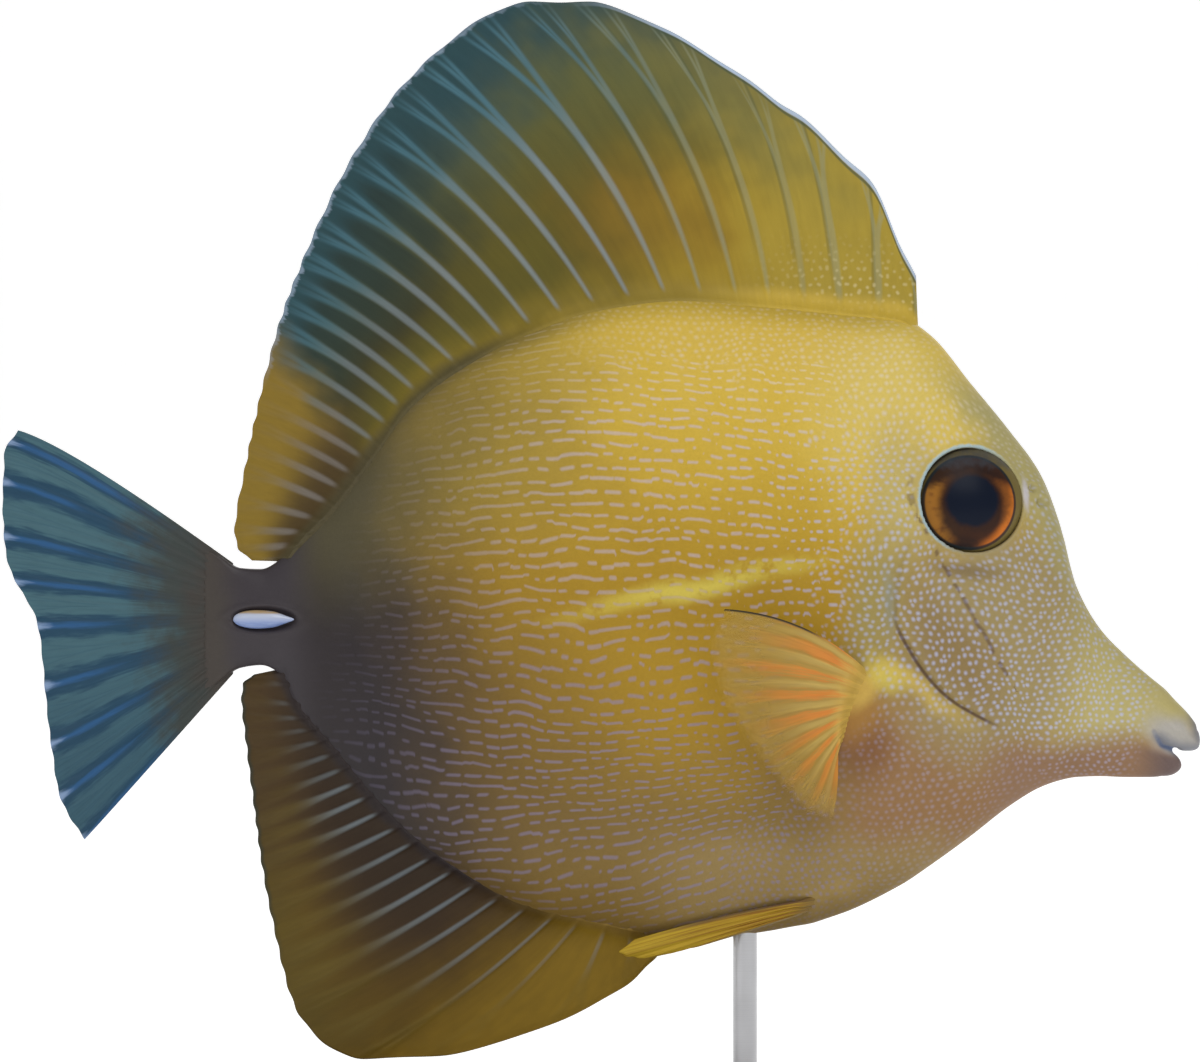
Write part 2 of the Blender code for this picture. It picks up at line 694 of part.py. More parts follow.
def build_stand(torso, wood, steel):
    """A flat base with rounded corners and one rod up into the belly."""
    corner_x, corner_y = BASE_LENGTH / 2 - BASE_CORNER, BASE_WIDTH / 2 - BASE_CORNER
    outline = []
    for turn, (sx, sy) in enumerate(((1, 1), (-1, 1), (-1, -1), (1, -1))):
        for i in range(9):
            a = math.radians(90 * turn + 90 * i / 8)
            x = BASE_X + sx * corner_x + BASE_CORNER * math.cos(a)
            outline.append((x, sy * corner_y + BASE_CORNER * math.sin(a)))
    shape = bmesh.new()
    bottom = shape.faces.new([shape.verts.new((x * MM, y * MM, 0)) for x, y in outline])
    raised = bmesh.ops.extrude_face_region(shape, geom=[bottom])["geom"]
    lifted = [g for g in raised if isinstance(g, bmesh.types.BMVert)]
    bmesh.ops.translate(shape, verts=lifted, vec=(0, 0, BASE_THICK * MM))
    upper = [g for g in raised if isinstance(g, bmesh.types.BMFace)]
    bmesh.ops.recalc_face_normals(shape, faces=shape.faces)
    rim = list(upper[0].edges)
    bmesh.ops.bevel(shape, geom=rim, offset=BASE_BEVEL * MM, segments=2, profile=0.5, affect="EDGES")
    mesh = bpy.data.meshes.new("stand_base")
    shape.to_mesh(mesh)
    shape.free()
    mesh.materials.append(wood)
    base = bpy.data.objects.new("stand_base", mesh)
    bpy.context.scene.collection.objects.link(base)
    belly = AXIS_HEIGHT - body_at(ROD_X)[1]
    top = belly + ROD_IN_BELLY
    foot = BASE_THICK + GAP
    collar_top = foot + COLLAR_HEIGHT
    cylinder("stand_rod", ROD_X, collar_top + GAP, top, ROD_RADIUS, steel)
    cylinder("stand_collar", ROD_X, foot, collar_top, COLLAR_RADIUS, steel)
    bore = cylinder("bore", ROD_X, belly - 4.0, top + GAP, ROD_RADIUS + GAP, None)
    boolean(torso, [bore], "DIFFERENCE")
    keep_largest(torso)


def main():
    for old in list(bpy.data.objects):
        bpy.data.objects.remove(old)
    skin = finish("skin", (0.62, 0.44, 0.10), 0.45)
    membrane = finish("fin_membrane", (0.25, 0.24, 0.06), 0.45)
    bright = finish("bright_fin", (0.80, 0.50, 0.06), 0.45)
    iris = finish("eye", (0.10, 0.04, 0.01), 0.1)
    blade = finish("spine", (0.86, 0.88, 0.95), 0.3)
    wood = finish("stand_wood", (0.05, 0.035, 0.025), 0.4)
    steel = finish("stand_steel", (0.6, 0.6, 0.62), 0.3, 1.0)
    head, torso, tail = build_body(skin)
    build_head(head)
    for side, word in ((1, "left"), (-1, "right")):
        centre, axis = eye_place(side)
        globe("eye_" + word, centre, axis, EYE_RADIUS, EYE_DEPTH, iris)
        tail_spine("tail_spine_" + word, side, 0.0, blade)
    boolean(tail, [tail_spine("groove", side, GAP, None) for side in (-1, 1)], "DIFFERENCE")
    keep_largest(tail)
    build_fins(membrane, bright)
    build_stand(torso, wood, steel)


main()
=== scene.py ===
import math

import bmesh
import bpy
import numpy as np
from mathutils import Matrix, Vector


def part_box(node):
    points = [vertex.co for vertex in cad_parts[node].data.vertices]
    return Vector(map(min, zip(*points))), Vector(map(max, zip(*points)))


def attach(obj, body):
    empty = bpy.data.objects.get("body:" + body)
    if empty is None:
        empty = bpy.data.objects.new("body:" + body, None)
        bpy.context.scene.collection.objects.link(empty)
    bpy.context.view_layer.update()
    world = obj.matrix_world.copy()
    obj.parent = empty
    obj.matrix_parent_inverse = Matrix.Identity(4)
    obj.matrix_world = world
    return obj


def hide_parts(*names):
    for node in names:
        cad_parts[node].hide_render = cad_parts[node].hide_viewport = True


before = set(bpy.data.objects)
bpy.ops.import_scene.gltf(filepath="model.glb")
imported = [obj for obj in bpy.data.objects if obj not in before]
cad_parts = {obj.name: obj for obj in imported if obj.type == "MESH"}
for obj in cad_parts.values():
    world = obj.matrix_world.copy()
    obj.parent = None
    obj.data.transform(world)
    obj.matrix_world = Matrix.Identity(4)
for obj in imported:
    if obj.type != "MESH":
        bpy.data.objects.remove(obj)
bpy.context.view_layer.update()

# A scopas tang, life size on its display stand: the finished skin, fins, eyes and stand.
# Sizes are in millimetres and become metres where a mesh is made. The head points along +X
# and the right side faces -Y. Heights with the word axis are measured from the line through
# the tail peduncle. Fin places are given by the number of a ray and the share of its length.

MM = 0.001
BODY_NAME = "root"
SIDES = ((1, "left"), (-1, "right"))

AXIS_HEIGHT = 58.2
RIDGE_HALF = 0.8

# Cross-sections of the body: place along X, back above the axis, belly below it, half width.
BODY = (
    (-37.8, 6.1, 6.2, 1.10),
    (-36.0, 5.0, 5.0, 1.75),
    (-33.8, 4.9, 4.7, 2.15),
    (-32.2, 5.7, 5.4, 2.40),
    (-30.0, 8.5, 10.0, 2.80),
    (-27.0, 11.3, 13.3, 3.40),
    (-23.0, 16.4, 18.1, 4.20),
    (-19.0, 21.8, 22.2, 5.00),
    (-14.0, 25.5, 25.8, 6.00),
    (-8.0, 28.6, 28.9, 6.90),
    (0.0, 31.3, 30.9, 7.50),
    (8.0, 32.2, 32.2, 7.90),
    (16.0, 31.6, 31.4, 8.00),
    (24.0, 30.8, 29.5, 7.80),
    (30.0, 30.1, 26.7, 7.40),
    (33.0, 28.3, 24.7, 7.10),
    (37.0, 23.5, 21.8, 6.60),
    (41.0, 18.6, 18.7, 5.90),
    (44.0, 14.4, 16.9, 5.25),
    (46.0, 9.2, 16.2, 4.70),
    (47.5, 3.4, 15.9, 4.30),
    (50.0, -1.1, 15.8, 3.65),
    (52.5, -3.7, 15.9, 3.05),
    (55.0, -5.9, 15.9, 2.65),
    (56.5, -7.1, 15.8, 2.55),
    (57.5, -8.2, 15.5, 2.40),
    (58.5, -9.2, 15.0, 2.05),
    (59.1, -9.9, 14.4, 1.65),
    (59.6, -10.6, 13.7, 1.15),
    (59.95, -11.5, 12.9, 0.60),
)
# Where the flesh runs out thin over the root of the tail fin.
TAIL_END = (-39.6, 7.1, 7.4, 0.3)
SECTION_STEP, SNOUT_STEP, SNOUT_START = 0.5, 0.12, 55.0
RING_STEPS = 72
VOXEL = 0.22
SMOOTHINGS, LIP_SMOOTHINGS = 4, 14

UPPER_LIP = ((55.7, -12.25), (56.6, -12.8), (57.9, -13.2), (59.2, -13.3), (60.3, -12.9))
LOWER_LIP = ((56.1, -12.75), (57.1, -13.4), (57.8, -13.95), (58.15, -14.8), (57.8, -15.4))
MOUTH_AHEAD, MOUTH_BELOW, MOUTH_HALF = 61.5, -18.0, 4.0
MOUTH_CREASE = ((55.1, -11.2), (55.55, -12.1), (55.95, -12.7), (56.8, -13.0), (57.6, -13.25))

EYE_X, EYE_AXIS_Z = 37.0, 11.8
EYE_RADIUS, EYE_DEPTH, EYE_SUNK = 5.5, 3.0, 1.45
SOCKET_BACK = 0.2
BALL_RINGS, EYE_AROUND, SPINE_AROUND = 48, 96, 40
LOOK_BACK, LOOK_DOWN = 0.6, 0.32
NOSTRILS = ((43.0, 13.0, 0.42), (43.9, 11.6, 0.55))

# Lines on the head, seen from the side, from top to bottom.
GILL_EDGE = ((30.8, 8.2), (29.5, 4.6), (29.1, 0.8), (31.0, -3.6), (34.4, -7.6), (39.9, -10.8))
CHEEK_LINE = ((31.6, 9.6), (34.5, 4.3), (37.6, -0.9), (40.9, -6.6))

SPINE_X, SPINE_AXIS_Z = -33.5, -0.1
SPINE_HALF_LENGTH, SPINE_HALF_HEIGHT, SPINE_HALF_THICK = 3.1, 0.9, 0.6
SPINE_PROUD = 0.28

# The strings of the flank: mean length with its gap at the rear and at the front, and where the
# one becomes the other along X. Then the space between rows, how wide the gaps are and half a
# string's width. Then the pitch and radius of the dots on the head and on the dorsal fin.
STRING_REAR, STRING_FRONT, STRING_CHANGE = 1.85, 1.0, (-8, 24)
STRING_ROW, STRING_GAP, STRING_HALF = 1.22, 0.72, 0.165
HEAD_DOT_PITCH, HEAD_DOT_RADIUS = 0.82, 0.15
FIN_DOT_PITCH, FIN_DOT_RADIUS = 0.93, 0.13

# Guide rays: number, root along X, tip along X, tip above the axis, bow forward.
DORSAL_RAYS = 28
DORSAL_GUIDES = (
    (0, 32.5, 31.6, 34.2, 0.00),
    (1, 28.0, 27.3, 43.4, 0.01),
    (2, 24.2, 20.5, 49.9, 0.03),
    (3, 20.6, 14.5, 54.1, 0.05),
    (4, 17.2, 6.6, 58.9, 0.06),
    (5, 14.0, -1.0, 61.65, 0.07),
    (6, 10.5, -7.0, 61.65, 0.07),
    (8, 3.4, -17.3, 55.8, 0.06),
    (11, -6.6, -24.8, 46.2, 0.05),
    (14, -14.1, -29.7, 36.0, 0.05),
    (17, -19.8, -32.2, 29.3, 0.04),
    (20, -23.4, -34.2, 21.5, 0.03),
    (23, -26.7, -35.6, 14.8, 0.02),
    (25, -29.2, -36.6, 8.8, 0.01),
    (26, -30.4, -36.2, 6.9, 0.00),
    (27, -31.6, -34.8, 5.75, 0.00),
)
ANAL_RAYS = 23
ANAL_GUIDES = (
    (0, 4.5, 5.7, -33.9, 0.00),
    (1, 2.8, 3.0, -36.5, 0.00),
    (2, 0.7, -3.5, -40.1, 0.01),
    (3, -1.7, -16.0, -43.8, 0.03),
    (4, -4.1, -23.6, -44.1, 0.03),
    (6, -9.7, -30.3, -39.4, 0.03),
    (9, -16.5, -32.5, -31.7, 0.02),
    (12, -21.7, -33.9, -24.4, 0.02),
    (15, -25.4, -34.7, -18.5, 0.01),
    (18, -28.6, -35.5, -12.0, 0.01),
    (20, -30.5, -35.9, -8.1, 0.01),
    (21, -31.3, -35.7, -6.5, 0.00),
    (22, -32.0, -34.6, -5.65, 0.00),
)
# The roots of the caudal rays are heights from the axis.
CAUDAL_RAYS = 18
CAUDAL_GUIDES = (
    (0, 5.9, -58.4, 18.8, 0.03),
    (2, 4.5, -59.8, 16.2, 0.03),
    (4, 3.2, -59.95, 10.6, 0.02),
    (6, 1.9, -59.4, 5.8, 0.01),
    (9, 0.0, -56.2, -0.9, 0.00),
    (12, -2.0, -55.1, -9.8, -0.01),
    (15, -4.3, -53.8, -17.8, -0.01),
    (17, -6.0, -51.3, -22.0, 0.00),
)
CAUDAL_BEND_AT, CAUDAL_CURL = 0.8, 2.2
PECTORAL_RAYS = 15
PECTORAL_ROOT = ((26.4, -5.2), (23.1, -11.8))
PECTORAL_GUIDES = (
    (0, 12.0, 1.2, 0.09),
    (2, 10.5, -2.0, 0.07),
    (4, 11.2, -6.0, 0.04),
    (7, 14.2, -11.8, 0.01),
    (10, 17.7, -16.3, -0.02),
    (12, 20.2, -18.8, -0.04),
    (14, 22.7, -19.6, -0.05),
)
PECTORAL_FLARE, PECTORAL_CUP = 40.0, 0.012
PELVIC_RAYS = 6
PELVIC_ROOT = ((23.2, -27.4), (20.9, -28.9))
PELVIC_GUIDES = (
    (0, 3.4, -31.9, 0.02),
    (1, 1.9, -33.1, 0.01),
    (3, 4.0, -33.7, 0.00),
    (5, 9.0, -32.7, -0.01),
)
PELVIC_OUT_MIDDLE, PELVIC_OUT_TIP = 4.6, 3.4
ROOT_SUNK, FLARE = 1.1, 1.2
ROOT_SEAT = 1.0

# Where along a ray each split starts and ends, and how far its branches part, in ray numbers.
DORSAL_SPLITS = ((0.52, 1.05, 0.2), (0.72, 1.15, 0.1))
ANAL_SPLITS = ((0.5, 1.1, 0.18), (0.75, 1.2, 0.08))
CAUDAL_SPLITS = ((0.3, 1.0, 0.22), (0.58, 1.1, 0.12))
PECTORAL_SPLITS = ((0.45, 1.0, 0.2), (0.7, 1.15, 0.1))
PELVIC_SPLITS = ((0.5, 1.1, 0.18),)

PLINTH_CORNER, PLINTH_ROUND = 20.0, 1.2
CORNER_STEPS, ROUND_STEPS = 16, 8
SHARP_ANGLE = math.radians(40)

CAMERA_LENS, CAMERA_SENSOR, CAMERA_AWAY = 150.0, 36.0, 0.5
CAMERA_HEIGHT = AXIS_HEIGHT + 8.7


# Shapes seen from the side


def smooth_through(rows):
    """A function of the first column that passes through the rows and never overshoots them."""
    table = np.array(rows, float)
    order = np.argsort(table[:, 0])
    at, values = table[order, 0], table[order, 1:]
    steps = np.diff(at)[:, None]
    rises = np.diff(values, axis=0) / steps
    slopes = np.vstack([rises[:1], np.zeros_like(rises[1:]), rises[-1:]])
    before, after = rises[:-1], rises[1:]
    same_way = before * after > 0
    harmonic = 2 * before * after / np.where(same_way, before + after, 1.0)
    slopes[1:-1] = np.where(same_way, harmonic, 0.0)

    def value(x):
        x = np.asarray(x, float)
        i = np.clip(np.searchsorted(at, x) - 1, 0, len(steps) - 1)
        step = steps[i]
        t = (x - at[i])[..., None] / step
        start = (2 * t**3 - 3 * t**2 + 1) * values[i] + (t**3 - 2 * t**2 + t) * step * slopes[i]
        return start + (3 * t**2 - 2 * t**3) * values[i + 1] + (t**3 - t**2) * step * slopes[i + 1]

    return value


body_at = smooth_through((TAIL_END, *BODY))
caudal_guide = smooth_through(CAUDAL_GUIDES)
pectoral_guide = smooth_through(PECTORAL_GUIDES)
pelvic_guide = smooth_through(PELVIC_GUIDES)


def back_at(x):
    return body_at(x)[..., 0]


def belly_at(x):
    return -body_at(x)[..., 1]


def ramp(value, low, high):
    """0 below the low value and 1 above the high one, smooth between them."""
    t = np.clip((value - low) / (high - low), 0, 1)
    return t * t * (3 - 2 * t)


def bump_at(away, width):
    """A soft swelling, 1 in the middle, that fades out over the width."""
    return np.exp(-((away / width) ** 2))


def section_at(x, axis_z):
    """The middle, reach and half width of the section there, and the share of the reach used."""
    back, belly, half = np.moveaxis(body_at(x), -1, 0)
    middle, reach = (back - belly) / 2, (back + belly) / 2
    return middle, reach, half, np.clip((axis_z - middle) / reach, -1, 1)


def half_width_at(x, axis_z):
    """How far the body's side stands from the middle plane at a place seen from the side."""
    _, _, half, share = section_at(x, axis_z)
    return half * np.sqrt(1 - share * share)


def facing(x, axis_z, side):
    """The outward direction of the body's side there. The side is 1 for left, -1 for right."""
    d = 0.4
    along = (half_width_at(x + d, axis_z) - half_width_at(x - d, axis_z)) / (2 * d)
    upward = (half_width_at(x, axis_z + d) - half_width_at(x, axis_z - d)) / (2 * d)
    n = Vector((-along, 1.0, -upward)).normalized()
    return Vector((n.x, side * n.y, n.z))


def on_side(x, axis_z, side, out):
    """A point out from the body's surface, or sunk in it where out is negative."""
    n = facing(x, axis_z, side)
    y = side * float(half_width_at(x, axis_z)) + n.y * out
    return Vector((x + n.x * out, y, AXIS_HEIGHT + axis_z + n.z * out))


def eye_axes(side):
    """The centre of an eye, and the directions ahead, above and out along its axis."""
    axis = facing(EYE_X, EYE_AXIS_Z, side)
    ahead = Vector((axis.y * side, -axis.x * side, 0)).normalized()
    above = axis.cross(ahead) * -side
    return on_side(EYE_X, EYE_AXIS_Z, side, -EYE_SUNK), (ahead, above, axis)


def along_line(points, count):
    """Evenly spaced places along a line through a few points seen from the side."""
    lengths = [0.0]
    for a, b in zip(points, points[1:]):
        lengths.append(lengths[-1] + math.dist(a, b))
    line = smooth_through([(s, *p) for s, p in zip(lengths, points)])
    return line(np.linspace(0, lengths[-1], count))


def beside(x, z, points, count=36):
    """Distance from a line seen from the side, positive on its left, and the share of it passed."""
    line = along_line(points, count)
    away = np.full(x.shape, 99.0)
    passed = np.zeros(x.shape)
    for k, (a, b) in enumerate(zip(line, line[1:])):
        d = b - a
        t = np.clip(((x - a[0]) * d[0] + (z - a[1]) * d[1]) / (d @ d), 0, 1)
        dx, dz = x - a[0] - t * d[0], z - a[1] - t * d[1]
        left = np.where(d[0] * dz - d[1] * dx >= 0, 1.0, -1.0)
        near = np.hypot(dx, dz)
        closer = near < np.abs(away)
        away = np.where(closer, near * left, away)
        passed = np.where(closer, (k + t) / (count - 1), passed)
    return away, passed


# Meshes


def spread(x, y, z):
    """Points from three coordinates, each a number or a grid."""
    return np.stack(np.broadcast_arrays(x, y, z), -1)


def round_angles(count):
    return np.arange(count) * 2 * np.pi / count


def ball_angles(rings, around):
    """Angles from one pole to the other and round the axis, over a grid."""
    return np.meshgrid(np.linspace(0, np.pi, rings + 1), round_angles(around), indexing="ij")


def set_out(centre, ways, local):
    """Points from their distances along three directions from a centre."""
    return np.array(centre) + sum(v[..., None] * np.array(way) for v, way in zip(local, ways))


def add_object(name, data):
    made = bpy.data.objects.new(name, data)
    bpy.context.scene.collection.objects.link(made)
    return made


def make_piece(name, points, faces, finish=None):
    """An object from points in millimetres."""
    mesh = bpy.data.meshes.new(name)
    mesh.from_pydata((np.asarray(points, float) * MM).tolist(), [], faces)
    mesh.update()
    mesh.shade_smooth()
    if finish:
        mesh.materials.append(finish.material)
    return add_object(name, mesh)


def make_rings(name, rings, finish=None, capped=True):
    """A piece from rings of points, one after the other, closed at both ends if capped."""
    count, around = rings.shape[:2]
    i, j = np.meshgrid(np.arange(count - 1), np.arange(around), indexing="ij")
    k = (j + 1) % around
    a, b = i * around, (i + 1) * around
    faces = np.stack([a + j, a + k, b + k, b + j], -1).reshape(-1, 4).tolist()
    if capped:
        last_ring = (count - 1) * around
        faces += [list(reversed(range(around))), list(range(last_ring, last_ring + around))]
    return make_piece(name, rings.reshape(-1, 3), faces, finish)


def read_vectors(items, field):
    flat = np.zeros(len(items) * 3)
    items.foreach_get(field, flat)
    return flat.reshape(-1, 3)


def set_points(mesh, points):
    mesh.vertices.foreach_set("co", (points * MM).ravel())
    mesh.update()


def note(mesh, name, *values):
    """Keeps up to three numbers at each point, for the finish to read."""
    rows = np.zeros((len(mesh.vertices), 3), np.float32)
    rows[:, : len(values)] = np.stack(values, -1)
    made = mesh.attributes.new(name, "FLOAT_VECTOR", "POINT")
    made.data.foreach_set("vector", rows.ravel())


def face_outward(target, weld=False):
    """Turns every face outward. With weld, points that meet at a pole become one first."""
    shape = bmesh.new()
    shape.from_mesh(target.data)
    if weld:
        bmesh.ops.remove_doubles(shape, verts=shape.verts, dist=1e-7)
        bmesh.ops.dissolve_degenerate(shape, edges=shape.edges, dist=1e-8)
    bmesh.ops.recalc_face_normals(shape, faces=shape.faces)
    shape.to_mesh(target.data)
    shape.free()
    return target


def apply_modifiers(target):
    graph = bpy.context.evaluated_depsgraph_get()
    result = bpy.data.meshes.new_from_object(target.evaluated_get(graph))
    target.modifiers.clear()
    target.data = result


def place_in_frame(piece, slot, *nodes):
    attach(piece, BODY_NAME)
    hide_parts(*nodes)


# Finishes


def srgb(red, green, blue):
    """A colour as a screen shows it, each part up to 255, as the light values that a shader takes."""
    shares = [part / 255 for part in (red, green, blue)]
    return tuple(s / 12.92 if s < 0.04 else ((s + 0.055) / 1.055) ** 2.4 for s in shares)


class Value:
    """A socket of a finish's nodes, so that maths on it reads as an expression."""

    def __init__(self, finish, socket):
        self.finish, self.socket = finish, socket

    def __add__(self, other):
        return self.finish.maths("ADD", self, other)

    __radd__ = __add__

    def __sub__(self, other):
        return self.finish.maths("SUBTRACT", self, other)

    def __rsub__(self, other):
        return self.finish.maths("SUBTRACT", other, self)

    def __mul__(self, other):
        return self.finish.maths("MULTIPLY", self, other)

    __rmul__ = __mul__

    def __truediv__(self, other):
        return self.finish.maths("DIVIDE", self, other)

    def __abs__(self):
        return self.finish.maths("ABSOLUTE", self)


class Finish:
    """One material, with one way to add each kind of node."""

    def __init__(self, name, **constants):
        self.material = bpy.data.materials.new(name)
        self.material.use_nodes = True
        self.tree = self.material.node_tree
        self.shader = self.tree.nodes["Principled BSDF"]
        for socket, value in constants.items():
            self.socket(socket).default_value = value

    def socket(self, name):
        return self.shader.inputs[name.replace("_", " ").title().replace("Ior", "IOR")]

    def node(self, kind, settings=None, inputs=None, output=0):
        """A node of that kind, with its settings made first, and one of its outputs."""
        made = self.tree.nodes.new(kind)
        for name, value in (settings or {}).items():
            setattr(made, name, value)
        for name, value in (inputs or {}).items():
            socket = made.inputs[name]
            if isinstance(value, Value):
                self.tree.links.new(value.socket, socket)
            elif isinstance(value, tuple) and len(socket.default_value) == 4:
                socket.default_value = (*value, 1.0)
            else:
                socket.default_value = value
        return Value(self, made.outputs[output])

    def feed(self, **links):
        for socket, value in links.items():
            self.tree.links.new(value.socket, self.socket(socket))

    def maths(self, operation, *values):
        return self.node("ShaderNodeMath", {"operation": operation}, dict(enumerate(values)))

    def larger(self, first, second):
        return self.maths("MAXIMUM", first, second)

    def vectors(self, operation, *values, output="Vector"):
        return self.node("ShaderNodeVectorMath", {"operation": operation}, dict(enumerate(values)), output)

    def vector(self, x, y, z=0.0):
        return self.node("ShaderNodeCombineXYZ", None, {"X": x, "Y": y, "Z": z})

    def parts(self, vector):
        return [self.node("ShaderNodeSeparateXYZ", None, {0: vector}, i) for i in range(3)]

    def scaled(self, vector, factor):
        return self.node("ShaderNodeVectorMath", {"operation": "SCALE"}, {0: vector, "Scale": factor})

    def lit(self, colour, gain):
        return self.vectors("MULTIPLY", colour, self.vector(gain, gain, gain))

    def mix(self, first, second, factor):
        return self.node("ShaderNodeMix", {"data_type": "RGBA"}, {0: factor, 6: first, 7: second}, 2)

    def paint(self, colour, *layers):
        """Lays each tone over the colour by its mask, one after the other."""
        for tone, mask in layers:
            colour = self.mix(colour, tone, mask)
        return colour

    def step(self, value, low, high):
        """0 at the low value and 1 at the high one, smooth between them."""
        limits = {"Value": value, "From Min": low, "From Max": high}
        return self.node("ShaderNodeMapRange", {"interpolation_type": "SMOOTHSTEP"}, limits)

    def noted(self, name):
        return self.parts(self.node("ShaderNodeAttribute", {"attribute_name": name}, None, "Vector"))

    def place(self):
        """The place on the model in millimetres."""
        return self.scaled(self.node("ShaderNodeTexCoord", None, None, "Object"), 1 / MM)

    def noise(self, vector, scale, detail=2.0, output="Fac"):
        inputs = {"Vector": vector, "Scale": scale, "Detail": detail}
        return self.node("ShaderNodeTexNoise", None, inputs, output)

    def drift(self, vector, scale, detail):
        """A smooth random way to shift a place."""
        return self.vectors("SUBTRACT", self.noise(vector, scale, detail, "Color"), (0.5, 0.5, 0.5))

    def zone(self, place, centre, reach, turn=0.0, soft=0.5):
        """1 inside a soft-edged ellipse seen from the side, 0 outside it."""
        inputs = {
            "Vector": place,
            "Location": (*centre, 0.0),
            "Rotation": (0.0, 0.0, math.radians(turn)),
            "Scale": (*reach, 1.0),
        }
        local = self.node("ShaderNodeMapping", {"vector_type": "TEXTURE"}, inputs)
        return self.step(self.vectors("LENGTH", local, output="Value"), 1 + soft, 1 - soft)

    def bump(self, height, strength, distance):
        """Relief from a height in millimetres."""
        inputs = {"Height": height, "Strength": strength, "Distance": distance * MM}
        self.feed(normal=self.node("ShaderNodeBump", None, inputs))


# The skin


def skin_surface():
    """The whole body as one closed surface, before its relief."""
    rough = np.arange(TAIL_END[0], SNOUT_START, SECTION_STEP)
    x = np.concatenate([rough, np.arange(SNOUT_START, BODY[-1][0], SNOUT_STEP), [BODY[-1][0]]])[:, None]
    back, belly, half = np.moveaxis(body_at(x), -1, 0)
    flat = np.minimum(RIDGE_HALF, half * 0.75)
    last = np.arccos(flat / half)
    t = last * np.linspace(-1, 1, RING_STEPS + 1)
    z = AXIS_HEIGHT + (back - belly) / 2 + (back + belly) / 2 * np.sin(t) / np.sin(last)
    y = half * np.cos(t)
    return make_rings("skin", np.concatenate([spread(x, y, z), spread(x, -y, z)[:, ::-1]], axis=1))


def mouth_cutter():
    """What the open mouth takes from the snout, the same right across it."""
    upper, lower = (along_line(lip, 12).tolist() for lip in (UPPER_LIP, LOWER_LIP))
    outline = upper + [(MOUTH_AHEAD, upper[-1][1]), (MOUTH_AHEAD, MOUTH_BELOW)]
    outline += [(lower[-1][0], MOUTH_BELOW)] + lower[::-1]
    x, z = np.array(outline).T
    rings = [spread(x, y, AXIS_HEIGHT + z) for y in (-MOUTH_HALF, MOUTH_HALF)]
    return face_outward(make_rings("mouth", np.array(rings)))


def cut_and_refine(target, cutter):
    """Opens the mouth, then gives the surface an even, fine mesh."""
    cut = target.modifiers.new("mouth", "BOOLEAN")
    cut.operation = "DIFFERENCE"
    cut.object = cutter
    apply_modifiers(target)
    bpy.data.objects.remove(cutter)
    fine = target.modifiers.new("fine", "REMESH")
    fine.mode = "VOXEL"
    fine.voxel_size = VOXEL * MM
    apply_modifiers(target)


def smoothed(points, edges, times, where=1.0):
    """Each point moves towards the middle of its neighbours."""
    a, b = edges.T
    amount = len(points)
    count = np.bincount(a, minlength=amount) + np.bincount(b, minlength=amount)
    share = 0.5 * np.broadcast_to(where, amount)[:, None]
    for _ in range(times):
        sums = [np.bincount(a, v[b], amount) + np.bincount(b, v[a], amount) for v in points.T]
        points = points + (np.stack(sums, -1) / count[:, None] - points) * share
    return points


def head_lift(x, axis_z, gill, gill_passed, crease, crease_passed):
    """The gill cover, the line of the cheek, the nostrils and the lips."""
    gill_end = np.sqrt(np.clip(np.sin(np.pi * gill_passed), 0, 1))
    cover = ramp(gill, -0.12, 0.18) * (1 - ramp(gill, 0.3, 5.5))
    lift = gill_end * (0.5 * cover - 0.16 * bump_at(gill + 0.45, 0.4))
    cheek, cheek_passed = beside(x, axis_z, CHEEK_LINE)
    cheek_end = np.clip(np.sin(np.pi * cheek_passed), 0, 1)
    lift += cheek_end * (0.08 * bump_at(cheek - 0.8, 0.8) - 0.1 * bump_at(cheek, 0.3))
    for nostril_x, nostril_z, size in NOSTRILS:
        away = np.hypot(x - nostril_x, axis_z - nostril_z)
        lift += 0.12 * bump_at(away - size * 1.3, size * 0.5) - 0.5 * bump_at(away, size * 0.8)
    lip = np.minimum(*(np.abs(beside(x, axis_z, line)[0]) for line in (UPPER_LIP, LOWER_LIP)))
    lift -= (0.1 + 0.3 * ramp(crease_passed, 0.0, 0.6)) * bump_at(crease, 0.24)
    lift += ramp(x, 55.6, 56.8) * (0.07 * bump_at(lip - 0.7, 0.6) - 0.09 * bump_at(lip - 1.9, 0.3))
    return lift, cheek, lip


def body_lift(x, axis_z, middle, reach, across):
    """The groove of the tail spine, the swollen fin roots, the lateral line and faint folds."""
    groove = np.hypot((x - SPINE_X) / (SPINE_HALF_LENGTH + 0.55), (axis_z - SPINE_AXIS_Z) / 1.35)
    lift = 0.16 * bump_at(groove - 1.12, 0.16) - 0.55 * (1 - ramp(groove, 0.7, 1.0))
    pectoral, pelvic = (beside(x, axis_z, root, 8)[0] for root in (PECTORAL_ROOT, PELVIC_ROOT))
    lift += 0.5 * bump_at(pectoral, 2.4) * (0.35 + 0.65 * ramp(pectoral, -2.5, 1.5))
    lift += 0.35 * bump_at(pelvic, 1.6)
    lateral = axis_z - (middle + reach * (0.42 + 0.2 * ramp(x, -30, 5)) * ramp(x, -34, -12))
    lift += 0.05 * bump_at(lateral, 0.35) * ramp(x, -30, -20) * (1 - ramp(x, 26, 30))
    folds = 0.05 * np.sin(x * 1.1 + np.abs(axis_z) * 0.55)
    return lift + folds * (1 - ramp(np.abs(across), 0.75, 0.95)) * (1 - ramp(x, 20, 30))


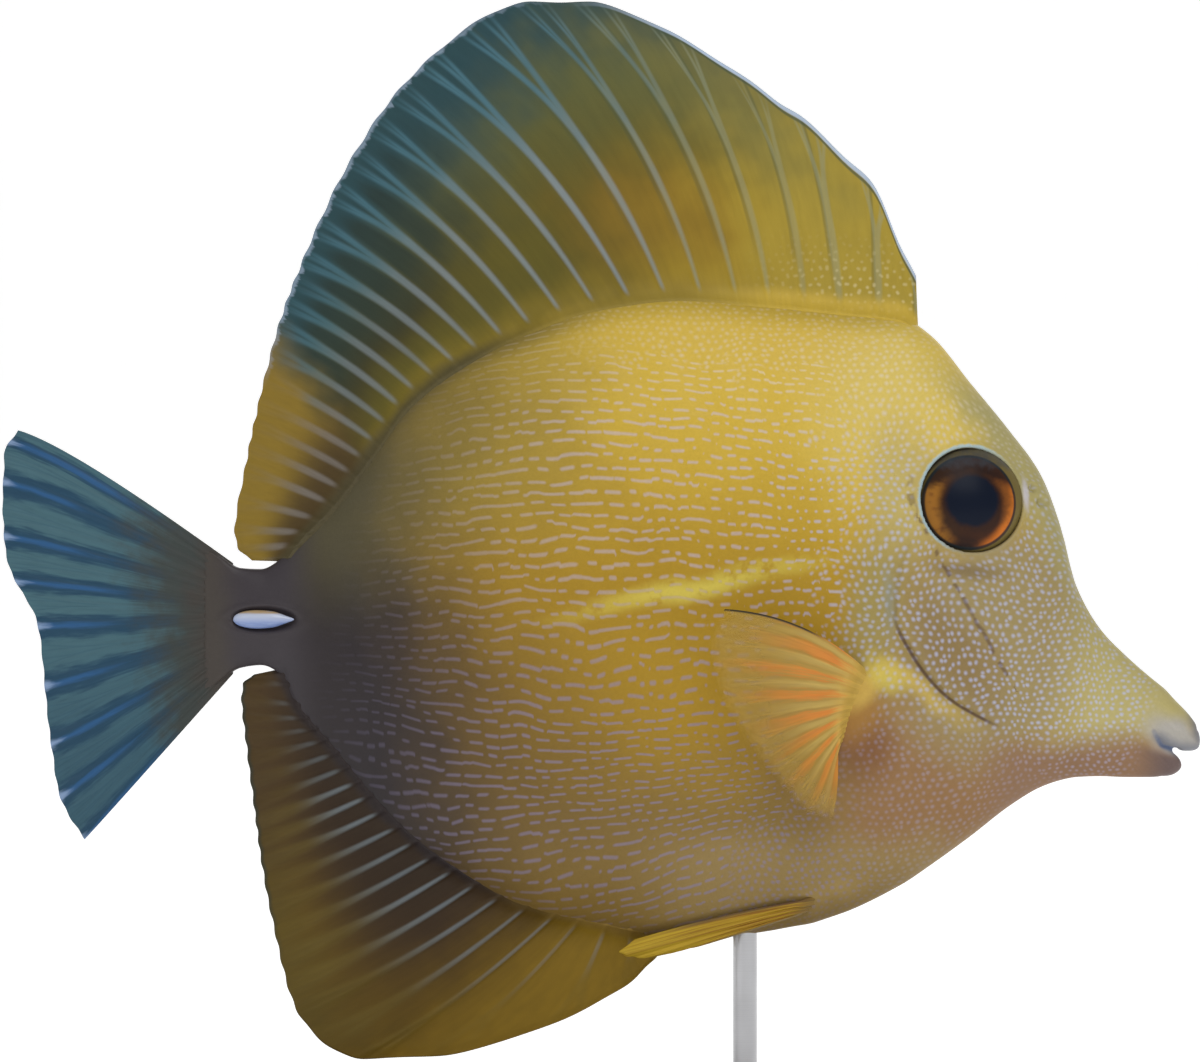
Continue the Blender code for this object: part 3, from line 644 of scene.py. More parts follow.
def mark_rows(x, y, axis_z, middle, half):
    """Where a place lies among the strings of the flank and among the dots of the head."""
    lean = 1 - np.clip(np.abs(y) / half, 0, 1)
    unrolled = axis_z + np.sign(axis_z - middle) * 0.4 * half * lean**2
    fanned = unrolled * np.exp(0.007 * np.clip(-6 - x, 0, 26)) * (1 + 0.22 * ramp(x, -6, 34))
    climb = 0.2 * (x + 15) + 0.01 * np.clip(x - 10, 0, 40) ** 2
    closer = 0.02 * np.clip(unrolled - 17, 0, 20) ** 2
    swirl = bump_at(axis_z + 9.5, 5.5) - bump_at(axis_z + 22, 5)
    row = fanned + closer - ramp(-axis_z, 5, 34) * np.where(x > -15, climb, 0.0)
    row += 1.3 * np.tanh((x + 13) / 7) * swirl
    other_side = np.where(y > 0, 200.0, 0.0)
    steps = np.linspace(-42, 62, 400)
    lengths = STRING_REAR - (STRING_REAR - STRING_FRONT) * ramp(steps, *STRING_CHANGE)
    string = np.interp(x, steps, np.cumsum((steps[1] - steps[0]) / lengths)) + other_side
    snout = np.clip(x - 34, 0, 26)
    return string, row, x + other_side + 0.0067 * snout**2, (unrolled + 8) * (1 + 0.0133 * snout), unrolled


def skin_relief(mesh):
    """Lifts and sinks the fine surface, and keeps what the finish has to know."""
    points, normals = read_vectors(mesh.vertices, "co") / MM, read_vectors(mesh.vertex_normals, "vector")
    x, y, z = points.T
    axis_z = z - AXIS_HEIGHT
    middle, reach, half, across = section_at(x, axis_z)
    gill, gill_passed = beside(x, axis_z, GILL_EDGE)
    crease, crease_passed = beside(x, axis_z, MOUTH_CREASE, 12)
    lift, cheek, lip = head_lift(x, axis_z, gill, gill_passed, crease, crease_passed)
    lift += body_lift(x, axis_z, middle, reach, across)
    points = points + normals * lift[:, None]

    eye = np.full(len(points), 99.0)
    eye_ahead, eye_above = np.zeros(len(points)), np.zeros(len(points))
    for side, _ in SIDES[::-1]:
        centre, ways = eye_axes(side)
        ahead, above, _ = ((points - np.array(centre)) @ np.array(way) for way in ways)
        away = np.hypot(ahead + SOCKET_BACK, above)
        near = (away < 9) & (points[:, 1] * side > 0)
        rim = 0.26 * bump_at(away - 5.54, 0.34) - 0.1 * bump_at(away - 6.7, 0.7)
        sink = 2.2 * (1 - ramp(away, 4.84, 5.26))
        points = points + np.array(ways[2]) * np.where(near, rim - sink, 0.0)[:, None]
        eye = np.where(near, away, eye)
        eye_ahead = np.where(near, ahead, eye_ahead)
        eye_above = np.where(near, above, eye_above)
    set_points(mesh, points)

    string, row, head_along, head_row, unrolled = mark_rows(x, y, axis_z, middle, half)
    note(mesh, "flank", string, row, gill_passed)
    note(mesh, "head", head_along, head_row, unrolled)
    note(mesh, "lines", eye, gill, cheek)
    note(mesh, "shares", across, np.abs(crease), crease_passed)
    note(mesh, "eye_place", eye_ahead, eye_above, lip)


def dashes(f, along, row, length, joining):
    """Rows of short strings with round ends, some joined, counted along by the string."""
    jitter, soft = 0.3, 0.13
    number = f.maths("FLOOR", row / STRING_ROW)
    shift = f.node("ShaderNodeTexWhiteNoise", {"noise_dimensions": "2D"}, {"Vector": f.vector(number, 3.1)})
    where = along + shift * 50
    inputs = {"W": where, "Scale": 1.0}
    cell = ("ShaderNodeTexVoronoi", {"voronoi_dimensions": "1D"}, inputs)
    to_edge = {"voronoi_dimensions": "1D", "feature": "DISTANCE_TO_EDGE"}
    edge = f.node("ShaderNodeTexVoronoi", to_edge, inputs, "Distance")
    height_draw, lean_draw, thick_draw = f.parts(f.node(*cell, "Color"))
    gap_draw = f.maths("FRACT", thick_draw * 7.31 + height_draw * 3.17)
    dx = (where - f.node(*cell, "W")) * length
    apart = f.step(f.noise(f.vector(where * 0.8, number * 7.7), 1.0, 0.0) + joining, 0.58, 0.5)
    inset = (STRING_HALF + STRING_GAP * (gap_draw * 0.6 + 0.08)) * apart
    past_end = f.larger(inset - edge * length, 0.0)
    off_row = (row / STRING_ROW - number - 0.5) * STRING_ROW
    dy = off_row - ((height_draw - 0.5) * jitter * 2 - dx * (lean_draw - 0.5) * 0.3) * apart
    away = f.maths("SQRT", past_end * past_end + dy * dy)
    return 1 - f.step(away - STRING_HALF * (0.85 + thick_draw * 0.3), -soft, soft)


def dots(f, x, y, pitch, radius, soft, longest):
    """Staggered dots, some drawn out a little in directions of their own."""
    high = pitch * math.sqrt(0.75)
    q = f.vector(x / pitch + y / high * 0.5, y / high)
    inputs = {"Vector": q, "Scale": 1.0, "Randomness": 0.5}
    cell = ("ShaderNodeTexVoronoi", {"voronoi_dimensions": "2D"}, inputs)
    lx, ly, _ = f.parts(f.vectors("SUBTRACT", q, f.node(*cell, "Position")))
    turn_draw, long_draw, thick_draw = f.parts(f.node(*cell, "Color"))
    dx, dy = (lx - ly * 0.5) * pitch, ly * high
    angle = turn_draw * math.tau
    cosine, sine = f.maths("COSINE", angle), f.maths("SINE", angle)
    off = dy * cosine - dx * sine
    past_end = f.larger(abs(dx * cosine + dy * sine) - long_draw * long_draw * longest, 0.0)
    away = f.maths("SQRT", past_end * past_end + off * off)
    return 1 - f.step(away - radius * (0.8 + thick_draw * 0.4), -soft, soft)


FLANK = srgb(171, 135, 30)
SHOULDER = srgb(207, 174, 62)
UPPER_REAR = srgb(157, 134, 54)
BACK_GOLD = srgb(150, 130, 58)
BELLY = srgb(136, 110, 53)
LOW_REAR = srgb(83, 62, 35)
LOW_SHADE = srgb(100, 77, 36)
BELLY_PALE = srgb(156, 132, 82)
CHEST = srgb(146, 110, 70)
CHEST_SHADOW = srgb(124, 82, 48)
CHIN = srgb(141, 108, 79)
CHEEK = srgb(154, 136, 90)
CHEEK_LOW = srgb(136, 112, 70)
NAPE = srgb(212, 188, 97)
FOREHEAD = srgb(164, 156, 106)
FOREHEAD_GOLD = srgb(196, 178, 106)
SNOUT = srgb(181, 168, 110)
LIP = srgb(174, 169, 160)
LIP_SHADE = srgb(104, 108, 120)
LIP_LOW = srgb(104, 86, 82)
CREASE_SHADE = srgb(84, 100, 132)
REAR_OLIVE = srgb(78, 72, 50)
REAR_BROWN = srgb(44, 38, 40)
PEDUNCLE = srgb(59, 54, 58)
STREAK = srgb(214, 196, 84)
BAND_GOLD = srgb(204, 176, 84)
BASE_YELLOW = srgb(196, 162, 76)
PECTORAL_BASE_SHADE = srgb(160, 116, 50)
BEHIND_GILL = srgb(146, 142, 96)
GILL_GREY = srgb(140, 146, 138)
LINE_BROWN = srgb(84, 60, 50)
MARK_LILAC = srgb(192, 180, 196)
MARK_LOW = srgb(142, 134, 166)
MARK_BLUE = srgb(186, 192, 226)
MARK_GOLD = srgb(228, 214, 170)
RIM_PALE = srgb(160, 194, 210)
RIM_HIGHLIGHT = srgb(204, 200, 212)
SOCKET_SHADE = srgb(34, 30, 30)
TAIL_BROWN = srgb(67, 61, 56)


def skin_ground(f, side_view, x, axis_z, across, wander):
    """The colours under the marks, from the ochre flank outwards, with painted light and shade in places,
    and how dark the rear is.
    """

    def patch(tone, centre, reach, turn, soft, amount=1.0):
        return tone, f.zone(side_view, centre, reach, turn, soft) * amount

    brow = f.step(x + axis_z * 0.62 + wander * 5, 46.5, 51) * f.step(axis_z, -6, 4) * f.step(axis_z, 27, 20)
    chin = f.step(axis_z + wander * 1.5 + (52 - x) * 0.07, -9.6, -13.8)
    pale = f.step(axis_z + wander * 3, -19, -24) * f.step(x, 0, 12)
    dull = f.step(x + wander * 8, 14, -20) * f.step(axis_z, 32, 22)
    slant = f.larger(axis_z - 4, 0.0) * 0.06 - f.larger(4 - axis_z, 0.0) * 0.13
    rear = f.step(x + 15.5 + slant + wander * 5, 7.5, -9.5)
    dark = f.mix(REAR_BROWN, REAR_OLIVE, f.step(axis_z + wander * 3, -3, 10))
    top_edge = f.step(across, 0.9, 1.0)
    ground = f.paint(
        FLANK,
        # The lighter shoulder and darker belly are partly the fish's own colours and partly painted light
        # falling from above.
        (SHOULDER, f.step(axis_z + wander * 5 + x * 0.1, 2, 25)),
        (BELLY, f.step(axis_z + wander * 5, -9, -22)),
        (UPPER_REAR, f.step(x + wander * 6, 5, -14) * f.step(axis_z, 2, 16)),
        patch(CHEST, (33, -17), (14, 9), -28, 0.5),
        patch(BEHIND_GILL, (27.4, 1.5), (3.0, 8), -8, 0.7, 0.6),
        patch(NAPE, (31, 20), (9, 10), 0, 0.6, 0.8),
        patch(CHEEK, (40, -2), (11, 12), -25, 0.35),
        patch(CHEEK, (30.5, 11.0), (3.4, 7.0), 10, 0.6, 0.6),
        patch(FOREHEAD_GOLD, (29.8, 12.5), (2.6, 5.0), 5, 0.8, 0.6),
        patch(CHEEK_LOW, (35.2, -3.5), (3.0, 7.0), 32, 0.7, 0.8),
        (FOREHEAD, brow * 0.9),
        (SNOUT, f.step(x - axis_z * 0.2 + wander * 2, 44, 52)),
        (CHIN, chin * f.step(x, 36, 42)),
        # Painted shadow under the pectoral fin's base, on the chest.
        patch(CHEST_SHADOW, (25.2, -12.6), (3.4, 3.4), -35, 0.7, 0.85),
        # Painted golden-brown shade below the pectoral fin's fleshy base.
        patch(PECTORAL_BASE_SHADE, (25.4, -9.2), (2.0, 2.8), -30, 0.7, 0.85),
        patch(BASE_YELLOW, (26.1, -6.6), (1.3, 2.4), -38, 0.6),
        patch(STREAK, (28.4, -5.4), (2.0, 1.1), -40, 0.9, 0.7),
        patch(BASE_YELLOW, (23.2, -27.3), (3.2, 1.0), 18, 0.8, 0.5),
        patch(BAND_GOLD, (31.8, -7.0), (4.6, 0.8), -36, 0.9, 0.65),
        patch(LOW_REAR, (-20, -9), (16, 12), -12, 0.75, 0.66),
        patch(LOW_SHADE, (-4, -15), (11, 6), 4, 0.85, 0.3),
        (BELLY_PALE, pale * 0.8),
        patch(BELLY, (21, -17), (4, 3.5), 0, 0.8, 0.55),
        (LOW_REAR, dull * 0.27),
        (dark, rear),
        (PEDUNCLE, f.step(x, -27, -32)),
        (TAIL_BROWN, f.step(x + wander * 4, -35.6, -38.6)),
        (BACK_GOLD, top_edge * f.step(x, 34, 26) * f.step(x, -14, -4) * 0.5),
        (REAR_OLIVE, top_edge * f.step(x, 4, -9) * f.step(x, -30, -27) * 0.6),
    )
    return ground, rear


def skin_marks(f, place, side_view, x, axis_z, string, row, head_along, head_row, unrolled):
    """The strings of the flank, and dots over the head, chest and back."""
    flat_view = f.vector(head_along, unrolled * 0.6)
    waves, ripples = f.drift(place, 0.11, 1.0), f.drift(flat_view, 0.24, 0.0)
    shake = f.vectors("ADD", f.scaled(waves, 2.0), f.scaled(ripples, 0.9))
    u, v, _ = f.parts(f.vectors("ADD", f.vector(string, row), shake))
    head_u, head_v, _ = f.parts(f.vectors("ADD", f.vector(head_along, head_row), shake))
    joining = f.zone(side_view, (-6, 8), (14, 9), 0, soft=0.6) * 0.1 - 0.14
    length = STRING_REAR - f.step(x, *STRING_CHANGE) * (STRING_REAR - STRING_FRONT)
    strings = dashes(f, u, v, length, joining)
    spots = dots(f, head_u, head_v, HEAD_DOT_PITCH, HEAD_DOT_RADIUS, 0.18, 0.07)
    patch = (f.noise(place, 0.5, 0.0) - 0.5) * 14
    on_head = f.step(x + patch * 0.6 - abs(axis_z - 6) * 0.06, 21.6, 22.8)
    on_chest = f.step(axis_z + (x - 12) * -0.55 + patch * 0.6, -21.6, -22.6) * f.step(x, 12, 14)
    on_top = f.step(axis_z + patch * 0.5 + (x - 10) * 0.1, 24.5, 26.0) * f.step(x, -6, 0)
    spotted = f.larger(f.larger(on_head, on_chest), on_top)
    return strings * (1 - spotted) + spots * spotted


def mark_strength(f, side_view, x, axis_z, across, wander, rear, eye):
    """How strongly the marks show, which fades towards the edges, the rear, chest, lips and eye."""
    blurred_back = f.step(across + wander * 0.1 - f.step(x, -8, 20) * 0.2, 0.58, 0.86)
    blurred_belly = f.step(across + wander * 0.1, -0.86, -1.0)
    chin = f.step(axis_z + (52 - x) * 0.07, -10.0, -12.5) * f.step(x, 36, 44)
    front = f.step(x + axis_z * 0.7 + wander * 2, 48.0, 54.0) * f.step(axis_z, -8, 0)
    strength = 1 - f.larger(blurred_back * 0.5, blurred_belly * 0.6)
    for fade in (
        1 - f.step(wander * 6 - x + axis_z * 0.25, 1, 29),
        1 - f.zone(side_view, (33, -18), (15, 9), -28, soft=0.4) * 0.68,
        1 - 0.5 * chin,
        1 - 0.4 * front,
        1 - f.step(x + wander * 1.5 - axis_z * 0.3, 55.6, 58.6),
        1 - f.zone(side_view, (25.6, -8.4), (1.7, 4.6), -30, soft=0.5),
        f.step(eye, 5.5, 6.6),
        1.2 + f.step(axis_z + wander * 6, 4, -14) * 0.24 - f.step(axis_z, -16, -28) * 0.06,
        1 - f.step(x, 20, -5) * 0.22 * f.step(axis_z, 22, 8),
        0.43 - rear * 0.03 + f.step(x, 24, 30) * 0.06,
    ):
        strength = strength * fade
    return strength


def skin_finish():
    f = Finish("tang_skin", roughness=0.46, specular_ior_level=0.22, coat_weight=0.06, coat_roughness=0.3)
    place = f.place()
    x, _, z = f.parts(place)
    axis_z = z - AXIS_HEIGHT
    string, row, gill_passed = f.noted("flank")
    head_along, head_row, unrolled = f.noted("head")
    eye, gill, cheek = f.noted("lines")
    across, crease, crease_passed = f.noted("shares")
    eye_ahead, eye_above, lip = f.noted("eye_place")
    wander = f.noise(place, 0.16) - 0.5
    side_view = f.vectors("ADD", f.vector(x, axis_z), f.scaled(f.vector(wander, wander), 3.0))
    ground, rear = skin_ground(f, side_view, x, axis_z, across, wander)
    marks = skin_marks(f, place, side_view, x, axis_z, string, row, head_along, head_row, unrolled)
    mark_colour = f.paint(
        MARK_LILAC,
        (MARK_LOW, f.step(axis_z + wander * 5 + x * 0.15, 8, -8)),
        (MARK_BLUE, f.step(x + wander * 8 + axis_z * 0.3, 15, 27) * f.step(axis_z, 24, 12)),
        (MARK_GOLD, f.step(axis_z + x * 0.2 + wander * 6, 18, 30) * 0.7),
    )
    streak = f.zone(side_view, (9.6, 3.3), (9.6, 0.95), 12, soft=0.9)
    streak = streak * f.step(f.noise(place, 0.7, 3.0), 0.22, 0.5)
    thin_line = f.step(abs(gill + 0.16), 0.26, 0.04)
    thin_line = thin_line * f.step(gill_passed, 0.3, 0.45) * f.step(gill_passed, 1.0, 0.9)
    broken = f.step(f.noise(place, 0.9, 1.0), 0.42, 0.55)
    cheek_dashes = f.step(abs(cheek + (f.noise(place, 0.6, 0.0) - 0.5) * 0.5), 0.34, 0.02) * broken
    temple = f.zone(side_view, (30.9, 12.2), (0.35, 2.0), 8, soft=0.5) * broken
    # Painted shade just under the eye, in the brown of the lines.
    shade_below_eye = f.zone(side_view, (36.3, 4.9), (3.0, 0.7), -12, soft=0.9)
    behind = f.zone(side_view, (28.2, 1.6), (0.6, 2.6), 4, soft=0.9)
    pale_lip = f.zone(side_view, (57.6, -12.0), (3.4, 2.0), -38, soft=0.5)
    lip_shadow = f.larger(f.step(lip, 1.5, 0.2), f.step(x + axis_z * 0.25, 55.7, 57.0))
    low_lip = f.step(x + wander, 52.4, 57.0) * f.step(axis_z + (x - 56) * 0.3, -12.9, -13.9)
    beads = f.noise(place, 2.4, 1.0) - 0.5
    rim = f.step(eye + beads * 0.3, 5.74, 5.42) * f.step(eye, 5.14, 5.32)
    lit_side = f.step(eye_above * 0.6 - eye_ahead, -3.0, 3.0)
    glint = f.zone(f.vector(eye_ahead, eye_above), (5.5, 0.6), (0.35, 1.5), 0, soft=0.7)
    colour = f.paint(
        ground,
        (mark_colour, marks * mark_strength(f, side_view, x, axis_z, across, wander, rear, eye)),
        (STREAK, streak * (0.85 - marks * 0.35)),
        (LINE_BROWN, f.larger(thin_line * 0.8, cheek_dashes * 0.62)),
        (LINE_BROWN, f.larger(temple * 0.45, shade_below_eye * 0.4)),
        (GILL_GREY, behind * 0.5),
        (LIP, pale_lip * f.step(axis_z, -14.2, -13.2)),
        (LIP_SHADE, lip_shadow * f.step(axis_z + x * 0.9, 37.0, 38.2) * 0.8),
        (LIP_LOW, low_lip),
        # Painted bluish shade along the mouth's crease, stronger where the crease runs deeper.
        (CREASE_SHADE, f.step(crease, 0.36, 0.06) * (0.35 + f.step(crease_passed, 0.1, 0.5) * 0.5)),
        # The pale rim round the eye is its own pale colour with painted light: it shows mostly on the upper
        # rear side, where light falls. The lilac patch on its front side is a painted highlight.
        (RIM_PALE, rim * (0.06 + lit_side * 0.74)),
        (RIM_HIGHLIGHT, glint * 0.7),
        # Painted shade where the skin sinks into the socket round the eyeball.
        (SOCKET_SHADE, f.step(eye, 5.32, 5.17)),
    )

    over, down = x * 0.65 + axis_z * 0.75, x * 0.75 - axis_z * 0.65
    on_snout = f.step(x, 50.5, 54.5) * f.step(x, 58.5, 57)
    wrinkled = f.larger(on_snout, f.zone(side_view, (37, 21), (4, 3), -50))
    wrinkles = (f.noise(f.vector(over * 2.2, down * 0.4), 1.1) - 0.5) * wrinkled
    mottle = f.noise(place, 3.2, 3.0) - 0.5 + wrinkles * 0.7
    scales = f.node("ShaderNodeTexVoronoi", None, {"Vector": place, "Scale": 3.4})
    f.feed(base_color=f.lit(colour, 1 + mottle * 0.16), roughness=0.44 + mottle * 0.12 + marks * 0.05)
    f.bump(scales * 0.6 + f.noise(place, 9.0) * 0.3 + marks * 0.2 + wrinkles * 4.0, 0.35, 0.05)
    return f


def make_skin():
    skin = skin_surface()
    cut_and_refine(skin, mouth_cutter())
    mesh = skin.data
    edges = np.zeros(len(mesh.edges) * 2, int)
    mesh.edges.foreach_get("vertices", edges)
    edges = edges.reshape(-1, 2)
    points = smoothed(read_vectors(mesh.vertices, "co") / MM, edges, SMOOTHINGS)
    set_points(mesh, smoothed(points, edges, LIP_SMOOTHINGS, ramp(points[:, 0], 54.5, 57)))
    skin_relief(mesh)
    mesh.shade_smooth()
    mesh.materials.clear()
    mesh.materials.append(skin_finish().material)
    place_in_frame(skin, "skin", "head", "torso", "tail_peduncle")


# The fins


def bowed(root, tip, bow, share, most_at=0.5):
    """Points on rays whose middles lean to the right of their way from root to tip."""
    chord = tip - root
    bend = root + chord * most_at + spread(chord[..., 2], 0.0, -chord[..., 0]) * (2 * bow[..., None])
    s = share[..., None]
    return root * (1 - s) ** 2 + bend * (2 * s * (1 - s)) + tip * s**2


def spot(x, axis_z):
    """Points in the middle plane."""
    return spread(x, 0.0, AXIS_HEIGHT + axis_z)


def median_fin(guides, edge, way):
    """The places on a fin that stands on the ridge of the back or the belly."""
    guide = smooth_through(guides)

    def place(number, share):
        root_x, tip_x, tip_z, bow = np.moveaxis(guide(number), -1, 0)
        d = 0.2
        slope = (edge(root_x + d) - edge(root_x - d)) / (2 * d)
        sunk = way * ROOT_SUNK / np.hypot(slope, 1)
        root = spot(root_x + slope * sunk, edge(root_x) - sunk)
        return bowed(root, spot(tip_x, tip_z), bow * way, share)

    return place


def caudal_place(number, share):
    root_z, tip_x, tip_z, bow = np.moveaxis(caudal_guide(number), -1, 0)
    root = spot(BODY[0][0] + ROOT_SUNK, root_z * 0.93)
    point = bowed(root, spot(tip_x, tip_z), bow, share, CAUDAL_BEND_AT)
    point[..., 1] = -CAUDAL_CURL * share**2 * np.sin(np.pi * (number / (CAUDAL_RAYS - 1) - 0.5))
    return point


def paired_ray(guide, root, rays, number, share):
    """Roots and places on a paired fin, as if it lay in the middle plane, and its seat's height."""
    tip_x, tip_z, bow = np.moveaxis(guide(number), -1, 0)
    (top_x, top_z), (low_x, low_z) = root
    t = number / (rays - 1)
    root_x, root_z = top_x + (low_x - top_x) * t, top_z + (low_z - top_z) * t
    start = spot(root_x, root_z)
    return start, bowed(start, spot(tip_x, tip_z), bow, share), half_width_at(root_x, root_z) + ROOT_SEAT


def pectoral_place(side):
    """The fan leaves the flank at an angle and cups back towards it."""
    (top_x, top_z), (low_x, low_z) = PECTORAL_ROOT
    long = math.dist(*PECTORAL_ROOT)
    rearward = np.array([-(top_z - low_z) / long, 0, (top_x - low_x) / long])
    flare = math.tan(math.radians(PECTORAL_FLARE))

    def place(number, share):
        root, point, seat = paired_ray(pectoral_guide, PECTORAL_ROOT, PECTORAL_RAYS, number, share)
        away = np.linalg.norm(point - root, axis=-1)
        outward = np.maximum(away * 0.55, (point - root) @ rearward)
        seat = seat - 1.8 * (1 - ramp(share, 0.0, 0.13))
        point[..., 1] = side * (seat + outward * flare - PECTORAL_CUP * outward**2)
        return point

    return place


def pelvic_place(side):
    """The blade lies back along the belly, clear of its side."""

    def place(number, share):
        _, point, seat = paired_ray(pelvic_guide, PELVIC_ROOT, PELVIC_RAYS, number, share)
        out = (seat - 2.4 * (1 - ramp(share, 0.0, 0.16))) * (1 - share) ** 2
        out = out + 2 * share * (1 - share) * PELVIC_OUT_MIDDLE + share**2 * PELVIC_OUT_TIP
        point[..., 1] = side * out
        return point

    return place


def fold_splits(off, share, splits):
    """Distance from the nearest branch, in ray numbers, where each ray splits again and again."""
    for start, end, apart in splits:
        off = np.abs(off - ramp(share, start, end) * apart)
    return off


def make_fin(node, rays, place, build, splits, finish, slot):
    """A thin sheet with a ridge along every ray and branch, on both of its faces.

    The build gives columns for each gap between rays, rows, half thickness at the root and
    in the membrane, height and width of the ridges, the edge's notches, and its waves.
    """
    columns, rows, root_half, half, ridge, width, notch, first_notch, wave = build
    ray_numbers = np.linspace(0, rays - 1, (rays - 1) * columns + 1)
    number, share = np.meshgrid(ray_numbers, np.linspace(0, 1, rows + 1), indexing="ij")
    off = np.abs(number - np.round(number))
    long = np.linalg.norm(place(number, np.ones_like(share)) - place(number, np.zeros_like(share)), axis=-1)
    between = 0.5 - 0.5 * np.cos(2 * np.pi * off)
    depth = (notch + first_notch * np.clip(1 - number / 4, 0, 1)) * between
    points = place(number, share * (1 - depth / np.maximum(long, 1.0) * share**2))
    across, along = np.gradient(points, axis=0), np.gradient(points, axis=1)
    normal = np.cross(across, along)
    normal /= np.maximum(np.linalg.norm(normal, axis=-1, keepdims=True), 1e-9)
    span = np.linalg.norm(across, axis=-1) * columns
    passed = np.cumsum(np.linalg.norm(np.diff(points, axis=1, prepend=points[:, :1]), axis=-1), axis=1)
    thick = half + root_half * np.exp(-np.maximum(passed - ROOT_SUNK, -0.4) / FLARE)
    on_ray = bump_at(fold_splits(off, share, splits) * span, width)
    thick = thick + ridge * on_ray * (1 - 0.75 * share) * ramp(share, 0.0, 0.08)
    thick = thick * (1 - 0.45 * ramp(share, 0.9, 1.0))
    end_gap = np.minimum(number, rays - 1 - number) * span
    thick = thick * (0.45 + 0.55 * ramp(end_gap, 0.0, 0.5))
    sway = np.sin(number * np.pi) * ramp(share, 0.15, 1.0) + 0.8 * np.sin(number * 0.9 + share * 4)
    middle = points + normal * (wave * sway * ramp(share, 0.1, 0.6))[..., None]
    faces_out = normal * thick[..., None]
    both = np.concatenate([(middle + faces_out).reshape(-1, 3), (middle - faces_out).reshape(-1, 3)])

    grid = np.arange(number.size).reshape(number.shape)
    quads = np.stack([grid[:-1, :-1], grid[:-1, 1:], grid[1:, 1:], grid[1:, :-1]], -1).reshape(-1, 4)
    rim = np.concatenate([grid[0], grid[1:, -1], grid[-1, -2::-1], grid[-2:0:-1, 0]])
    following = np.roll(rim, -1)
    edge = np.stack([rim, number.size + rim, number.size + following, following], -1)
    faces = np.concatenate([quads, (quads + number.size)[:, ::-1], edge]).tolist()
    made = face_outward(make_piece(node + "_membrane", both, faces, finish))
    note(made.data, "ray", *(np.tile(value.ravel(), 2) for value in (number, share, span)))
    reach = (passed - ROOT_SUNK, passed[:, -1:] - passed)
    note(made.data, "reach", *(np.tile(value.ravel(), 2) for value in reach))
    place_in_frame(made, slot, node)


class RayFinish(Finish):
    """A finish for a fin, which knows the nearest ray and how far along it a place is."""

    def __init__(self, name, splits, roughness=0.5):
        super().__init__(name, roughness=roughness, specular_ior_level=0.2)
        self.where = self.place()
        self.x, _, z = self.parts(self.where)
        self.axis_z = z - AXIS_HEIGHT
        self.number, self.share, self.span = self.noted("ray")
        self.from_body, self.to_edge, _ = self.noted("reach")
        nearest = self.maths("ROUND", self.number)
        draw = ("ShaderNodeTexWhiteNoise", {"noise_dimensions": "1D"}, {"W": nearest + 0.37}, "Value")
        self.draw = self.node(*draw)
        self.behind = (self.number - nearest) * self.span
        self.branch = abs(self.number - nearest)
        for start, end, apart in splits:
            self.branch = abs(self.branch - self.step(self.share, start, end) * apart)
        self.fibre = self.noise(self.vector(self.number * 3.0, self.share * 2.5), 2.2, 3.0) - 0.5
        self.wander = self.noise(self.where, 0.22) - 0.5

    def drawn(self, width, soft=0.12):
        """1 on a ray or branch of that half width, with soft edges."""
        return 1 - self.step(self.branch * self.span - width, -soft, soft)

    def close(self, colour, streaks, grain=0.4, **links):
        """Feeds the colour with fine lengthwise lightness, and the relief of fibres and grain."""
        self.feed(base_color=self.lit(colour, 1 + self.fibre * streaks), **links)
        self.bump(self.fibre + self.noise(self.where, 6.0) * grain, 0.3, 0.06)
        return self


FRONT_GOLD = srgb(162, 140, 50)
BASE_GOLD = srgb(154, 129, 36)
DARK_OLIVE = srgb(90, 82, 26)
DEEP_OLIVE = srgb(50, 48, 26)
AMBER = srgb(132, 98, 26)
GREEN = srgb(82, 93, 62)
TEAL = srgb(38, 67, 72)
NAVY = srgb(34, 48, 42)
REAR_GOLD = srgb(130, 106, 36)
REAR_TAN = srgb(68, 51, 28)
RAY_FRONT = srgb(142, 146, 116)
RAY_PALE = srgb(128, 140, 146)
RAY_TEAL = srgb(72, 112, 126)
EDGE_PALE = srgb(176, 194, 218)
EDGE_DARK = srgb(62, 76, 58)
REAR_LILAC = srgb(134, 122, 112)


